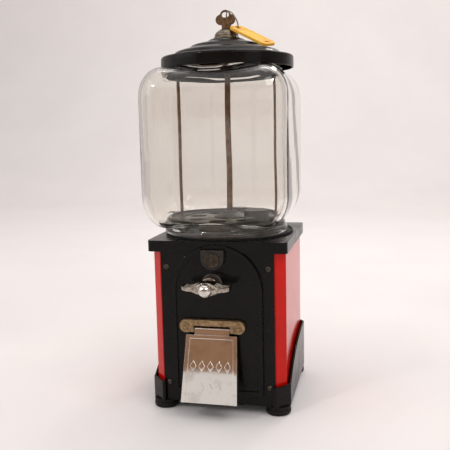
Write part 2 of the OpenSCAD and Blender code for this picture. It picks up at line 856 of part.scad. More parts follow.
// Door drawn hanging straight down from its pin, outer face towards -Y
module door_plate(inset0, inset1) {
  polygon([[-door_top_w / 2 + inset0, -door_shoulder], [-door_low_w / 2 + inset0, -door_len],
           [-door_low_w / 2 + inset1, -door_len], [-door_top_w / 2 + inset1, -door_shoulder]]);
  polygon([[door_top_w / 2 - inset0, -door_shoulder], [door_low_w / 2 - inset0, -door_len],
           [door_low_w / 2 - inset1, -door_len], [door_top_w / 2 - inset1, -door_shoulder]]);
}

module lozenge(w, h) {
  polygon([[-w / 2, 0], [0, h / 2], [w / 2, 0], [0, -h / 2]]);
}

module door() {
  face = -knuckle_r;
  lozenge_pitch = 8.6;
  color("#d8d6d2") translate([-front_left, -pin_y, pin_z]) rotate([-door_lean, 0, 0]) difference() {
    union() {
      along_x(-knuckle_w / 2, knuckle_w / 2) circle(knuckle_r);
      along_y(face, face + door_t) translate([-knuckle_w / 2, -door_shoulder - 1])
        square([knuckle_w, door_shoulder + 1]);
      along_y(face, face + door_t) door_plate(0, door_top_w / 2 + 4);
      // raised borders
      along_y(face - door_rib, face + eps) {
        door_plate(0, door_rib_w);
        translate([-door_top_w / 2 + 1, -door_shoulder - 3.4])
          square([door_top_w - 2, 3.4]);
      }
      // sides bent back towards the panel
      intersection() {
        along_y(face, door_bend + 1) door_plate(0, door_t);
        along_x(-door_low_w, door_low_w)
          polygon([[face, -door_shoulder], [face + door_t + 1.6, -door_shoulder - 1.5],
                   [face + door_t + door_bend, -door_len], [face, -door_len]]);
      }
      // two rows of raised lozenges
      along_y(face - 0.8, face + eps) {
        for (i = [-2:2]) translate([i * lozenge_pitch, -door_len * 0.5]) lozenge(6, 10.5);
        for (i = [-1:1]) translate([i * lozenge_pitch, -door_len * 0.8]) lozenge(6, 10.5);
      }
    }
    along_x(-knuckle_w, knuckle_w) circle(hinge_pin_r + run_gap);
  }
}

cup_half = mouth_w / 2 + 1;
cup_z0 = pin_z - door_len * cos(door_lean) + 3.5;

// Point on the cup's front edge, clear of the closed door
function cup_edge(z, g) = [door_y(z) + g, z];

module candy_cup() {
  g = 0.5;
  t = chute_t;
  top = mouth_z + mouth_h - 6;
  lip = cup_z0 + 13;
  back = -arch_y - t;
  flange_z = arch_z0 + bead_w + gap;
  color("#1a1815") front() difference() {
    union() {
      for (s = [-1, 1]) along_x(s * (cup_half - t / 2) - t / 2, s * (cup_half - t / 2) + t / 2)
        polygon([[back + eps, mouth_z - 3], cup_edge(cup_z0, g), cup_edge(top - 8, g),
                 [back + eps, top]]);
      along_x(-cup_half, cup_half) {
        polygon([[back + eps, mouth_z - t], [back + eps, mouth_z], cup_edge(cup_z0 + t, g + t / 2),
                 cup_edge(cup_z0, g)]);
        polygon([cup_edge(cup_z0, g), cup_edge(lip, g), cup_edge(lip, g + t),
                 cup_edge(cup_z0, g + t)]);
      }
      along_y(-arch_y - t, -arch_y) difference() {
        translate([-cup_half - 3, flange_z])
          square([2 * cup_half + 6, mouth_z + mouth_h + 4 - flange_z]);
        mouth(0);
      }
    }
    along_y(-arch_y - 3, -arch_y + 1) rivet_spots() circle(0.9);
  }
}

module rivet_spots() {
  for (s = [-1, 1]) translate([s * (cup_half - 8), mouth_z + mouth_h + 2]) children();
}

module cup_rivets() {
  color("#8a8680") front() {
    along_y(-arch_y - chute_t - 0.6, -arch_y - chute_t) rivet_spots() circle(1.5);
    along_y(-arch_y - chute_t - eps, -half_d) rivet_spots() circle(0.9);
  }
}

tube_z = mouth_z + mouth_h + 27;

// Folded duct from a square under the exit tube to the mouth, t inside its outer skin
module duct(t) {
  hull() {
    translate([exit_x - tube_r + t, exit_y - tube_r + t, tube_z - 1])
      cube([2 * (tube_r - t), 2 * (tube_r - t), 1]);
    translate([-front_left - mouth_w / 2 + t, -shell_y + gap, mouth_z + t])
      cube([mouth_w - 2 * t, 1, mouth_h - 2 * t]);
  }
}

module delivery_chute() {
  t = chute_t;
  color("#6d6a66") difference() {
    union() {
      duct(0);
      along_y(-arch_y, -shell_y + gap + 1) translate([-front_left - mouth_w / 2, mouth_z])
        square([mouth_w, mouth_h]);
    }
    duct(t);
    translate([exit_x - exit_r, exit_y - exit_r, tube_z - 1.5])
      cube([2 * exit_r, 2 * exit_r, 2]);
    along_y(-arch_y - 5, -shell_y + 3) translate([-front_left - mouth_w / 2 + t, mouth_z + t])
      square([mouth_w - 2 * t, mouth_h - 2 * t]);
  }
}

// Tube under the exit hole, with a flange at each end
module exit_tube() {
  color("#6d6a66") translate([exit_x, exit_y, 0]) difference() {
    union() {
      translate([0, 0, tube_z]) cylinder(r = tube_r, h = under_z - tube_z);
      translate([0, 0, under_z - 2]) cylinder(r = tube_r + 3, h = 2);
      translate([-tube_r, -tube_r, tube_z]) cube([2 * tube_r, 2 * tube_r, chute_t]);
    }
    translate([0, 0, tube_z - 1]) cylinder(r = exit_r, h = under_z - tube_z + 2);
  }
}

// ---------- top plate, globe and rods ----------

module top_plate() {
  color("#15130f") difference() {
    translate([0, 0, rim_z]) linear_extrude(plate_h) rounded(plate_x, plate_y, plate_r);
    translate([0, 0, rim_z - 1]) linear_extrude(plate_h - plate_t + 1)
      rounded(plate_x - rim_t, plate_y - rim_t, plate_r - rim_t);
    // the arched plate stands in front of the rim
    along_y(-plate_y - 1, -plate_y + rim_t + 1) intersection() {
      arch(0.4);
      translate([-plate_x, 0]) square([2 * plate_x, under_z]);
    }
    translate([0, 0, under_z - 1]) cylinder(r = sleeve_r + run_gap, h = plate_t + 2);
    translate([exit_x, exit_y, under_z - 1]) cylinder(r = exit_r, h = plate_t + 2);
    side_spots() translate([0, 0, under_z - 1])
      cylinder(r = side_rod_r + fit_gap, h = plate_t + 2);
  }
}

module globe_gasket() {
  color("#12110f") difference() {
    translate([-gasket_left, 0, deck_z]) rotate_extrude() polygon([
      [0, 0], [gasket_in + 1.6, 0], [gasket_in + 1.6, gasket_h - 0.6], [gasket_in + 1, gasket_h],
      [gasket_in, gasket_h], [gasket_in, gasket_t], [0, gasket_t]]);
    translate([-globe_left, 0, deck_z - 1]) cylinder(r = neck_in, h = gasket_t + 2);
  }
}

// Square form with rounded edges: r is the plan rounding, the others round the top and bottom
module globe_form(half, r, top, low, top_r, low_r) {
  hull() for (sx = [-1, 1], sy = [-1, 1]) translate([sx * (half - r), sy * (half - r), 0]) {
    translate([0, 0, top - top_r]) scale([r / top_r, r / top_r, 1]) sphere(top_r, $fn = 32);
    translate([0, 0, low + low_r]) scale([r / low_r, r / low_r, 1]) sphere(low_r, $fn = 32);
  }
}

module globe() {
  t = glass_t;
  color([0.85, 0.9, 0.86, 0.35]) translate([-globe_left, 0, 0]) difference() {
    union() {
      globe_form(globe_half, edge_r, globe_top, globe_z, shoulder_r, bottom_r);
      translate([0, 0, deck_z + gasket_t]) cylinder(r = neck_r, h = lower_neck_h + 9);
      translate([0, 0, globe_top - 9]) cylinder(r = neck_r, h = upper_neck_h + 9);
    }
    globe_form(globe_half - t, edge_r - t, globe_top - t, globe_z + t, shoulder_r - t,
               bottom_r - t);
    translate([0, 0, deck_z]) cylinder(r = neck_in, h = neck_top - deck_z + 1);
  }
}

module hopper_ring() {
  h = hopper_z - deck_z;
  color("#24211e") difference() {
    translate([-globe_left, 0, deck_z]) rotate_extrude() polygon([
      [0, 0], [ring_r, 0], [ring_r, h + 2], [ring_r - 2, h + 2], [ring_r - ring_edge, h], [0, h]]);
    translate([0, 0, deck_z - 1]) cylinder(r = hopper_in, h = h + 4);
    side_spots() translate([0, 0, deck_z - 1]) cylinder(r = side_rod_r + fit_gap, h = h + 5);
  }
}

brush_r = exit_r + 2.6;

module brush_housing() {
  t = 1.2;
  h = 10;
  pass = 3.4;
  tab_w = 11;
  color("#3a3631") difference() {
    union() {
      translate([exit_x, exit_y, hopper_z]) cylinder(r = brush_r, h = h);
      // tab that sits on the hopper ring, inside its raised edge
      rotate([0, 0, exit_turn]) translate([hopper_in, -tab_w / 2, hopper_z])
        cube([ring_r - ring_edge - globe_left - hopper_in - gap, tab_w, t]);
    }
    translate([exit_x, exit_y, hopper_z - 1]) cylinder(r = brush_r - t, h = h + 1 - t);
    translate([0, 0, hopper_z - 1]) tube(hopper_in - 2, hopper_in - 20, pass + 1);
  }
}

module brush() {
  color("#a08a63") rotate([0, 0, exit_turn]) translate([pocket_at, 6.6, 0])
    translate([-6.5, 0, wheel_top + 0.4]) cube([13, 2.4, hopper_z + 10 - 1.2 - wheel_top - 0.4]);
}

module thrust_washer() {
  color("#b3a06a") translate([0, 0, deck_z]) tube(14, sleeve_r + 0.3, washer_t);
}

module center_rod() {
  z0 = foot_h - 4;
  neck_z = cam_z - gap;
  head_z = cam_z + cam_t + gap;
  color("#6f6256") {
    translate([0, 0, z0]) cylinder(r = rod_r, h = neck_z - z0);
    translate([0, 0, neck_z - eps]) cylinder(r = rod_neck_r, h = head_z - neck_z + 2 * eps);
    translate([-rod_head[0] / 2, -rod_head[1] / 2, head_z]) cube(rod_head);
  }
}

module center_rod_nuts() {
  color("#8a8680") for (z = [foot_h - 3.4, floor_z]) translate([0, 0, z]) difference() {
    cylinder(r = 5.8, h = 3.4, $fn = 6);
    translate([0, 0, -1]) cylinder(r = rod_r, h = 6);
  }
}

module side_rods() {
  z0 = under_z - m3_nut_t - 1.6;
  color("#6f6256") side_spots() translate([0, 0, z0])
    cylinder(r = side_rod_r, h = upper_z + upper_t + m3_nut_t + 1 - z0);
}

module side_rod_nuts() {
  color("#8a8680") side_spots()
    for (z = [under_z - m3_nut_t, upper_z - m3_nut_t, upper_z + upper_t])
      translate([0, 0, z]) rotate([0, 0, 30]) difference() {
        cylinder(r = side_rod_r + 1.3, h = m3_nut_t, $fn = 6);
        translate([0, 0, -1]) cylinder(r = side_rod_r, h = m3_nut_t + 2);
      }
}

module upper_plate() {
  color("#1b1815") difference() {
    translate([-globe_left, 0, upper_z]) cylinder(r = ring_r, h = upper_t);
    translate([-globe_left, 0, upper_z - 1]) cylinder(r = filling_r, h = upper_t + 2);
    side_spots() translate([0, 0, upper_z - 1])
      cylinder(r = side_rod_r + fit_gap, h = upper_t + 2);
  }
}

// ---------- candy wheel ----------

module candy_wheel() {
  step = 360 / pockets;
  color("#5a5550") difference() {
    translate([0, 0, wheel_z]) cylinder(r = wheel_r, h = wheel_t);
    translate([0, 0, wheel_z - 1]) cylinder(r = sleeve_r, h = wheel_t + 2);
    for (i = [0:pockets - 1]) rotate([0, 0, exit_turn + (i + 0.5) * step])
      translate([pocket_at, 0, wheel_z - 1]) cylinder(r = pocket_r, h = wheel_t + 2);
  }
}

module drive_sleeve() {
  z0 = crown_disc_z - 1.6;
  color("#9a8f7c") translate([0, 0, z0]) tube(sleeve_r, rod_r + run_gap, wheel_top - z0);
}

module crown_gear() {
  tooth_h = crown_disc_z - crown_z + 0.9;
  tooth_w = 1.25;
  color("#b09a5a") {
    translate([0, 0, crown_disc_z]) tube(crown_out, sleeve_r, crown_disc_t);
    for (i = [0:crown_teeth - 1]) rotate([0, 0, (i + 0.5) * 360 / crown_teeth - 90])
      translate([crown_in, 0, crown_disc_z]) rotate([0, 90, 0])
        linear_extrude(crown_face - 0.3) polygon([
          [-eps, -tooth_w / 2 - 0.25], [tooth_h, -tooth_w / 2 + 0.25],
          [tooth_h, tooth_w / 2 - 0.25], [-eps, tooth_w / 2 + 0.25]]);
  }
}

module hub_cap() {
  color("#4a443d") translate([0, 0, wheel_top]) rotate_extrude() polygon([
    [rod_r + 0.3, 0], [hub_r, 0], [hub_r, 1.2], [hub_r - 1.5, 2], [hub_r / 2, 5.6],
    [hub_r / 2 - 1.5, 8], [rod_r + 0.3, 8]]);
}

// ---------- lid, lock and key ----------

// Profile of the lid's stepped top, from the centre out, moved down by t
function lid_points(t) =
  let (z = lid_top - t, h = lid_rise)
  [[0, z], [17, z], [18.4, z - 0.05 * h], [20.4, z - 0.13 * h], [34, z - 0.3 * h],
   [36.6, z - 0.36 * h], [38.6, z - 0.47 * h], [51.6, z - 0.68 * h], [53.8, z - 0.75 * h],
   [56, z - 0.88 * h]];

module lid() {
  rim_top = lid_low + lid_rim_h;
  color("#15130f") difference() {
    rotate_extrude() polygon(concat(lid_points(0),
      [[lid_r - 1.6, rim_top], [lid_r - 0.4, rim_top - 0.7], [lid_r, rim_top - 1.8],
       [lid_r, lid_low], [lid_in, lid_low], [lid_in, lid_z], [lid_ledge_r, lid_z]],
      [for (i = [len(lid_points(0)) - 1:-1:0])
         let (p = lid_points(2)[i]) [max(0, p[0] - (i > 3 ? 1 : 0)), p[1]]]));
    translate([0, 0, lid_top - 5]) cylinder(r = barrel_r + fit_gap, h = 10);
  }
}

module lock_body() {
  color("#8f8478") difference() {
    union() {
      translate([0, 0, lid_top]) rotate_extrude() polygon([
        [0, 0], [lock_r, 0], [lock_r, 1.6], [lock_r - 0.5, 2.4], [lock_r - 1.4, 2.6],
        [lock_r - 1.1, 4], [lock_r - 2, 6], [lock_r - 4.1, 8.1], [lock_r - 6.6, lock_h - 0.5],
        [lock_r - 7.4, lock_h], [0, lock_h]]);
      translate([0, 0, barrel_z]) cylinder(r = barrel_r, h = lid_top - barrel_z + eps);
    }
    translate([0, 0, plug_z]) cylinder(r = plug_r + run_gap, h = lock_h + 10);
    translate([0, 0, barrel_z - 1]) cylinder(r = cam_r + cup_gap, h = plug_z - barrel_z + 1);
  }
}

module lock_nut() {
  color("#8a8680") translate([0, 0, lid_top - 2 - 3.2]) difference() {
    cylinder(r = 14, h = 3.2, $fn = 6);
    translate([0, 0, -1]) cylinder(r = barrel_r, h = 6);
  }
}

module lock_plug() {
  slot = rod_head + [1.2, 1, 0];
  top = plug_z - gap;
  color("#a39684") difference() {
    union() {
      translate([0, 0, cam_z]) cylinder(r = cam_r, h = top - cam_z);
      translate([0, 0, top - eps]) cylinder(r = plug_r, h = lock_top + 0.4 - top);
    }
    // hollow that the rod's head turns in
    translate([0, 0, cam_z + cam_t]) cylinder(r = cam_r - 1.4, h = top - cam_z - cam_t - 2);
    translate([-slot[0] / 2, -slot[1] / 2, cam_z - 1]) cube([slot[0], slot[1], cam_t + 2]);
    // keyway
    translate([-key_bit / 2, -key_t / 2, top - 1]) cube([key_bit, key_t, lock_top - top + 3]);
  }
}

module key_bow() {
  z = key_z + 9;
  translate([-key_neck_w / 2, key_z]) square([key_neck_w, 9]);
  for (s = [-1, 1]) translate([bow_x + s * 5, z]) circle(5.2);
  translate([bow_x, z + 4.1]) circle(5.6);
}

module key() {
  hole_r = 2.7;
  color("#5a4a40") {
    along_y(-key_t / 2, key_t / 2) difference() {
      key_bow();
      for (s = [-1, 1]) translate(key_hole + [s * 1.2, 0]) circle(hole_r);
      translate(key_hole - [1.2, hole_r]) square([2.4, 2 * hole_r]);
    }
    along_y(-key_t / 2, key_t / 2) translate([-key_bit / 2, plug_z + 0.2])
      square([key_bit, key_z - plug_z - 0.2 + eps]);
  }
}

// Directions along the tag and out of its face
tag_u = [cos(tag_dir) * cos(tag_slope), sin(tag_dir) * cos(tag_slope), -sin(tag_slope)];
tag_face = [sin(tag_slope) * cos(tag_roll) * cos(tag_dir) + sin(tag_roll) * sin(tag_dir),
            sin(tag_slope) * cos(tag_roll) * sin(tag_dir) - sin(tag_roll) * cos(tag_dir),
            cos(tag_slope) * cos(tag_roll)];
tag_start = [9, -2.4, lock_top + 1.5];
tag_hole = 4.6;

function unit(v) = v / norm(v);

module tag_frame() {
  translate(tag_start) rotate([0, 0, tag_dir]) rotate([0, tag_slope, 0]) rotate([tag_roll, 0, 0])
    children();
}

module tag_outline(g) {
  r = 5 + g;
  hx = tag_len / 2 + g;
  hy = tag_w / 2 + g;
  translate([tag_len / 2, 0]) rounded(hx, hy, r);
}

module key_tag() {
  color("#f6b53a") tag_frame() difference() {
    translate([0, 0, -tag_t / 2]) linear_extrude(tag_t) tag_outline(0);
    translate([tag_hole, 0, -tag_t]) cylinder(r = 3.2, h = 2 * tag_t);
    // hanging slot at the far end
    for (s = [-1, 1]) translate([tag_len - 5, s * 2.4, -tag_t]) cylinder(r = 1.3, h = 2 * tag_t);
    translate([tag_len - 6.3, -2.4, -tag_t]) cube([2.6, 4.8, 2 * tag_t]);
    // shallow window for the label
    translate([11, -6, tag_t / 2 - 0.6]) cube([26, 12, 2]);
  }
}

module tag_label() {
  color("#f9d472") tag_frame() translate([11.2, -5.8, tag_t / 2 - 0.6]) cube([25.6, 11.6, 0.4]);
}

// The ring runs through the key's hole and the tag's hole
ring_a = [key_hole[0] + 1.1, 0, key_hole[1]];
ring_b = tag_start + tag_hole * tag_u;
ring_lead = unit([0, -1, 0] + tag_face);
ring_chord = unit(ring_b - ring_a);
ring_n = unit(cross(ring_chord, ring_lead));
ring_side = cross(ring_n, ring_chord);
ring_off = sqrt(pow(key_ring_r, 2) - pow(norm(ring_b - ring_a) / 2, 2));
ring_mid = (ring_a + ring_b) / 2 + ring_off * ring_side;

module split_ring() {
  color("#7d766c") translate(ring_mid)
    rotate([0, acos(ring_n[2]), atan2(ring_n[1], ring_n[0])])
      rotate_extrude() translate([key_ring_r, 0]) circle(key_wire_r, $fn = 24);
}

base_pan();
feet();
foot_screws();
foot_nuts();
body_shell();
front_panel();
panel_screws();
m3_nuts();
arch_plate();
coin_entry();
coin_emblem();
handle_bushing();
hinge_bracket();
bracket_screws();
hinge_pin();
candy_cup();
cup_rivets();
delivery_chute();
exit_tube();
mechanism_frame();
frame_posts();
gear_carrier();
carrier_rivets();
pawl_pin();
pawl_spring();
pawl();
top_plate();
globe_gasket();
globe();
hopper_ring();
brush_housing();
brush();
thrust_washer();
center_rod();
center_rod_nuts();
side_rods();
side_rod_nuts();
upper_plate();
handle();
handle_knob();
handle_shaft();
coin_wheel();
ratchet_wheel();
drive_pinion();
jackshaft();
idler_gear();
crown_pinion();
candy_wheel();
drive_sleeve();
crown_gear();
hub_cap();
door();
lid();
lock_body();
lock_nut();
lock_plug();
key();
split_ring();
key_tag();
tag_label();
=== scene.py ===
"""Counter-top gumball machine: the finishes, the visible pieces and the studio.

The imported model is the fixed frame. Each sub-assembly is a class that dresses the nodes it
owns and builds the pieces whose shape needs more than the plain solids: the pressed glass
globe, the spun lid, the cast lock, the winged handle, the key's split ring and the brush.
Lengths in the classes are millimetres, and meshes are made in metres.
"""

from __future__ import annotations

import json
import logging
import math
from collections.abc import Callable, Mapping, Sequence
from dataclasses import dataclass, field
from enum import Enum

import bmesh
import bpy
from mathutils import Matrix, Vector

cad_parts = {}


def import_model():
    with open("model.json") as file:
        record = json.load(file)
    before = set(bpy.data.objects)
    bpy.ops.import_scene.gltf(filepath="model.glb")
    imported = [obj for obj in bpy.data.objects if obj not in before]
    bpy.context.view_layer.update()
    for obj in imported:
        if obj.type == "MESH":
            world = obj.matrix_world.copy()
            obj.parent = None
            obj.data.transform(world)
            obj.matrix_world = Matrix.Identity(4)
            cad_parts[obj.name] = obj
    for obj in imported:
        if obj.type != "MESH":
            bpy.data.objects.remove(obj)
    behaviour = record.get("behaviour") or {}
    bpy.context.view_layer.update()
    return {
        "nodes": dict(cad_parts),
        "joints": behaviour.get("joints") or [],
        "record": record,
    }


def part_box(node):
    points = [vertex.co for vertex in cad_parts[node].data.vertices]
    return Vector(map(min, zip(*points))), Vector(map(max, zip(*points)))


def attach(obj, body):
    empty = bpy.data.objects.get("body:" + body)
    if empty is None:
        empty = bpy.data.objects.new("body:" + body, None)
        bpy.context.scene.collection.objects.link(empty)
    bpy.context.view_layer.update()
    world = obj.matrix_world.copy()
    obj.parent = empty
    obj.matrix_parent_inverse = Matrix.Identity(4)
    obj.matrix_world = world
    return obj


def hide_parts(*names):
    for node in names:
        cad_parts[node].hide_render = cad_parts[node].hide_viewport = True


log = logging.getLogger("gumball_machine")

MM = 0.001
# what nearly all of a noise texture's values lie between
NOISE_RANGE = (0.3, 0.7)
COAT_ROUGHNESS = 0.05
SHOULDER_STEPS = 60
# points closer than this, in metres, are one
WELD = 1e-6
# faces that meet flatter than this are joined, and edges sharper than the next are rounded
FLAT_ANGLE = math.radians(0.5)
EDGE_ANGLE = math.radians(35)
EDGE_SEGMENTS = 3
Point = tuple[float, float]
Ring = list[Vector]
Tree = bpy.types.NodeTree
Socket = bpy.types.NodeSocket
Sizes = Mapping[str, Socket]


# ---- colours and nodes


class Tone(Enum):
    """Colours of the finishes, as sRGB hex values."""

    BLACK_ENAMEL = "#0B0A09"
    BLACK_HAZE = "#15120F"
    RED_ENAMEL = "#CC1408"
    RED_SHADE = "#B5140B"
    RUBBER = "#0F0E0D"
    RUBBER_DUST = "#1C1A17"
    ZINC = "#A8A49C"
    ZINC_DULL = "#77726A"
    CHROME = "#E4E1DC"
    CHROME_DULL = "#B5ADA3"
    NICKEL = "#A39886"
    NICKEL_DULL = "#3F352B"
    OLD_STEEL = "#8B6F55"
    RUST = "#5A3F2B"
    KEY_STEEL = "#86694C"
    KEY_GRIME = "#3F2D20"
    BRASS = "#A68A66"
    BRASS_DULL = "#4C3927"
    BRONZE = "#564C40"
    BRONZE_DULL = "#2A241E"
    CAST_IRON = "#2A2723"
    CAST_DUST = "#45403A"
    SCREW_STEEL = "#5C554C"
    # the handle's plate: darker and browner than chrome, partly grime and partly a painted
    # reflection of a dark brown room
    WORN_PLATE = "#CDC3B8"
    PLATE_GRIME = "#4A3D33"
    CAST_ALLOY = "#8C877F"
    ALLOY_DULL = "#5F5A53"
    GLASS = "#F4F2EE"
    TAG = "#F9BE2E"
    TAG_DEEP = "#F3A01C"
    CARD = "#F7CB55"
    CARD_FLECK = "#ECBB48"
    BRISTLE = "#B08F55"
    BRISTLE_DARK = "#6E5530"
    FLOOR = "#F1EAE8"
    WORLD = "#F6EFEC"
    DARK_CARD = "#A98468"
    GREY_FLAG = "#A8A29C"


def linear(tone: Tone, alpha: float = 1.0) -> tuple[float, float, float, float]:
    """Turn a tone into linear colour values.

    Args:
        tone: The colour, as an sRGB hex value.
        alpha: The fourth value.

    Returns:
        Red, green, blue and alpha, linear.
    """
    code = tone.value.lstrip("#")
    parts = [int(code[i : i + 2], 16) / 255 for i in (0, 2, 4)]
    low = [p / 12.92 if p <= 0.04045 else ((p + 0.055) / 1.055) ** 2.4 for p in parts]
    return (low[0], low[1], low[2], alpha)


def add_node(
    tree: Tree,
    kind: str,
    inputs: Mapping[str | int, object] | None = None,
    **settings: object,
) -> bpy.types.Node:
    """Add one node to a tree, with its settings and links.

    Args:
        tree: The shader or geometry tree.
        kind: The node's type name.
        inputs: For each input, by name or number, a socket to link or a value.
        settings: The node's own properties.

    Returns:
        The new node.
    """
    node = tree.nodes.new(kind)
    for name, value in settings.items():
        setattr(node, name, value)
    for key, value in (inputs or {}).items():
        if isinstance(value, Socket):
            tree.links.new(value, node.inputs[key])
        else:
            node.inputs[key].default_value = value
    return node


def wired(
    tree: Tree,
    kind: str,
    inputs: Mapping[str | int, object],
    output: str | int,
    **settings: object,
) -> Socket:
    """Add one node as add_node does, and return the named output."""
    return add_node(tree, kind, inputs, **settings).outputs[output]


def noise(
    tree: Tree,
    place: Socket,
    size: float,
    detail: float = 4.0,
    low: float = 0.0,
    high: float = 1.0,
) -> Socket:
    """Cloudy noise of a real grain size, stretched to a range.

    Args:
        tree: The shader tree.
        place: The coordinates that it reads.
        size: Size of one grain in millimetres.
        detail: Octaves of finer noise.
        low: Value where the noise is weakest.
        high: Value where the noise is strongest.

    Returns:
        The socket with the value.
    """
    grains = {"Vector": place, "Scale": 1 / (size * MM), "Detail": detail, "Roughness": 0.6}
    cloud = wired(tree, "ShaderNodeTexNoise", grains, "Fac")
    weakest, strongest = NOISE_RANGE
    spread = {"From Min": weakest, "From Max": strongest, "To Min": low, "To Max": high}
    return wired(tree, "ShaderNodeMapRange", {"Value": cloud, **spread}, "Result")


def blended(tree: Tree, amount: Socket, first: Tone, second: Tone) -> Socket:
    """Mix two tones by an amount and return the colour's socket."""
    mix = add_node(tree, "ShaderNodeMix", {0: amount}, data_type="RGBA")
    mix.inputs["A"].default_value = linear(first)
    mix.inputs["B"].default_value = linear(second)
    return mix.outputs["Result"]


def bumped(tree: Tree, height: Socket, depth: float, edge: float = 0.0) -> Socket:
    """Bend the surface normal by a height pattern, and round the edges a little.

    Args:
        tree: The shader tree.
        height: The pattern, from 0 to 1.
        depth: Depth of the pattern in millimetres.
        edge: Radius that edges seem to have, in millimetres, or 0 for none.

    Returns:
        The socket with the normal.
    """
    sockets: dict[str | int, object] = {"Height": height, "Distance": depth * MM, "Strength": 1.0}
    if edge > 0:
        radius = {"Radius": edge * MM}
        sockets["Normal"] = wired(tree, "ShaderNodeBevel", radius, "Normal", samples=4)
    return wired(tree, "ShaderNodeBump", sockets, "Normal")


def new_material(name: str) -> tuple[bpy.types.Material, Tree, Socket]:
    """A new material, its empty tree and its object coordinates."""
    material = bpy.data.materials.new(name)
    material.use_nodes = True
    tree = material.node_tree
    tree.nodes.clear()
    return material, tree, add_node(tree, "ShaderNodeTexCoord").outputs["Object"]


def new_object(name: str, data: bpy.types.ID) -> bpy.types.Object:
    """A new object in the scene."""
    made = bpy.data.objects.new(name, data)
    bpy.context.scene.collection.objects.link(made)
    return made


def box_mm(node: str) -> tuple[Vector, Vector]:
    """The low and the high corner of a node's box, in millimetres."""
    low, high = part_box(node)
    return low / MM, high / MM


# ---- finishes


@dataclass(frozen=True)
class Finish:
    """A surface finish: two tones in cloudy patches, with their gloss and grain.

    Attributes:
        name: The finish, in a maker's words.
        tone: Main colour.
        shade: Colour of the dull or dirty patches.
        metallic: 1 for bare metal, 0 for paint, rubber or plastic.
        roughness: Roughness of the clean surface.
        dull: Roughness of the dull patches.
        specular: Strength of a paint's or plastic's own gloss.
        patch: Size of the patches in millimetres.
        cover: How much of the surface the patches take, from 0 to 1.
        grain: Size of the fine texture in millimetres.
        depth: Depth of the fine texture in millimetres.
        edge: Radius that its edges seem to have, in millimetres.
        stretch: How far the grain is drawn out along X, Y and Z.
        coat: Weight of a clear coat.
        subsurface: How much light passes under the surface.
    """

    name: str
    tone: Tone
    shade: Tone
    metallic: float = 0.0
    roughness: float = 0.3
    dull: float = 0.5
    specular: float = 0.5
    patch: float = 14.0
    cover: float = 0.35
    grain: float = 0.5
    depth: float = 0.01
    edge: float = 0.3
    stretch: tuple[float, float, float] = (1.0, 1.0, 1.0)
    coat: float = 0.0
    subsurface: float = 0.0

    def build(self) -> bpy.types.Material:
        """Make the finish's material."""
        material, tree, place = new_material(self.name)
        add_node(tree, "ShaderNodeOutputMaterial", {"Surface": self.surface(tree, place)})
        return material

    def patches(self, tree: Tree, place: Socket) -> Socket:
        """Return how dull or dirty each place is, from 0 to 1."""
        return noise(tree, place, self.patch, 6.0, self.cover - 0.5, self.cover + 0.5)

    def relief(self, tree: Tree, place: Socket) -> Socket:
        """Return the height of the fine texture, from 0 to 1."""
        drawn = wired(
            tree, "ShaderNodeMapping", {"Vector": place, "Scale": self.stretch}, "Vector"
        )
        return noise(tree, drawn, self.grain, 3.0)

    def surface(self, tree: Tree, place: Socket) -> Socket:
        """Build the shader that both tones, the gloss and the relief feed.

        Args:
            tree: The material's tree.
            place: Object coordinates.

        Returns:
            The shader's socket.
        """
        worn = wired(tree, "ShaderNodeClamp", {"Value": self.patches(tree, place)}, "Result")
        range_of_gloss = {"Value": worn, "To Min": self.roughness, "To Max": self.dull}
        gloss = wired(tree, "ShaderNodeMapRange", range_of_gloss, "Result")
        return wired(
            tree,
            "ShaderNodeBsdfPrincipled",
            {
                "Base Color": blended(tree, worn, self.tone, self.shade),
                "Metallic": self.metallic,
                "Roughness": gloss,
                "Specular IOR Level": self.specular,
                "Coat Weight": self.coat,
                "Coat Roughness": COAT_ROUGHNESS,
                "Subsurface Weight": self.subsurface,
                "Subsurface Radius": (1.0, 0.5, 0.15),
                "Subsurface Scale": 2 * MM,
                "Normal": bumped(tree, self.relief(tree, place), self.depth, self.edge),
            },
            "BSDF",
        )


@dataclass(frozen=True)
class Galvanised(Finish):
    """Hot-dipped zinc on sheet steel: flat crystals of slightly different grey."""

    def patches(self, tree: Tree, place: Socket) -> Socket:
        """Return each zinc crystal's own shade, from 0 to 1."""
        crystals = {"Vector": place, "Scale": 1 / (self.patch * MM)}
        cells = wired(tree, "ShaderNodeTexVoronoi", crystals, "Color")
        return wired(tree, "ShaderNodeSeparateColor", {"Color": cells}, "Red")


@dataclass(frozen=True)
class PressedGlass:
    """Soda-lime glass pressed in a mould: clear, with a slowly waving skin.

    Attributes:
        name: The finish, in a maker's words.
        tone: Faint tint of the glass.
        wave: Length of the skin's waves in millimetres.
        depth: Height of the waves in millimetres.
        shadow: What the glass leaves of a lamp's light, linear, with alpha.
    """

    name: str = "pressed_glass"
    tone: Tone = Tone.GLASS
    wave: float = 30.0
    depth: float = 0.09
    shadow: tuple[float, float, float, float] = (0.97, 0.98, 0.97, 1.0)

    def build(self) -> bpy.types.Material:
        """Make the glass, which lets the lamps through so that its inside is lit."""
        material, tree, place = new_material(self.name)
        waves = noise(tree, place, self.wave, 1.0)
        body = {
            "Base Color": linear(self.tone),
            "Roughness": 0.0,
            "IOR": 1.5,
            "Transmission Weight": 1.0,
            "Normal": bumped(tree, waves, self.depth),
        }
        glass = wired(tree, "ShaderNodeBsdfPrincipled", body, "BSDF")
        clear = wired(tree, "ShaderNodeBsdfTransparent", {"Color": self.shadow}, "BSDF")
        lamp = wired(tree, "ShaderNodeLightPath", {}, "Is Shadow Ray")
        mix = wired(tree, "ShaderNodeMixShader", {0: lamp, 1: glass, 2: clear}, "Shader")
        add_node(tree, "ShaderNodeOutputMaterial", {"Surface": mix})
        return material


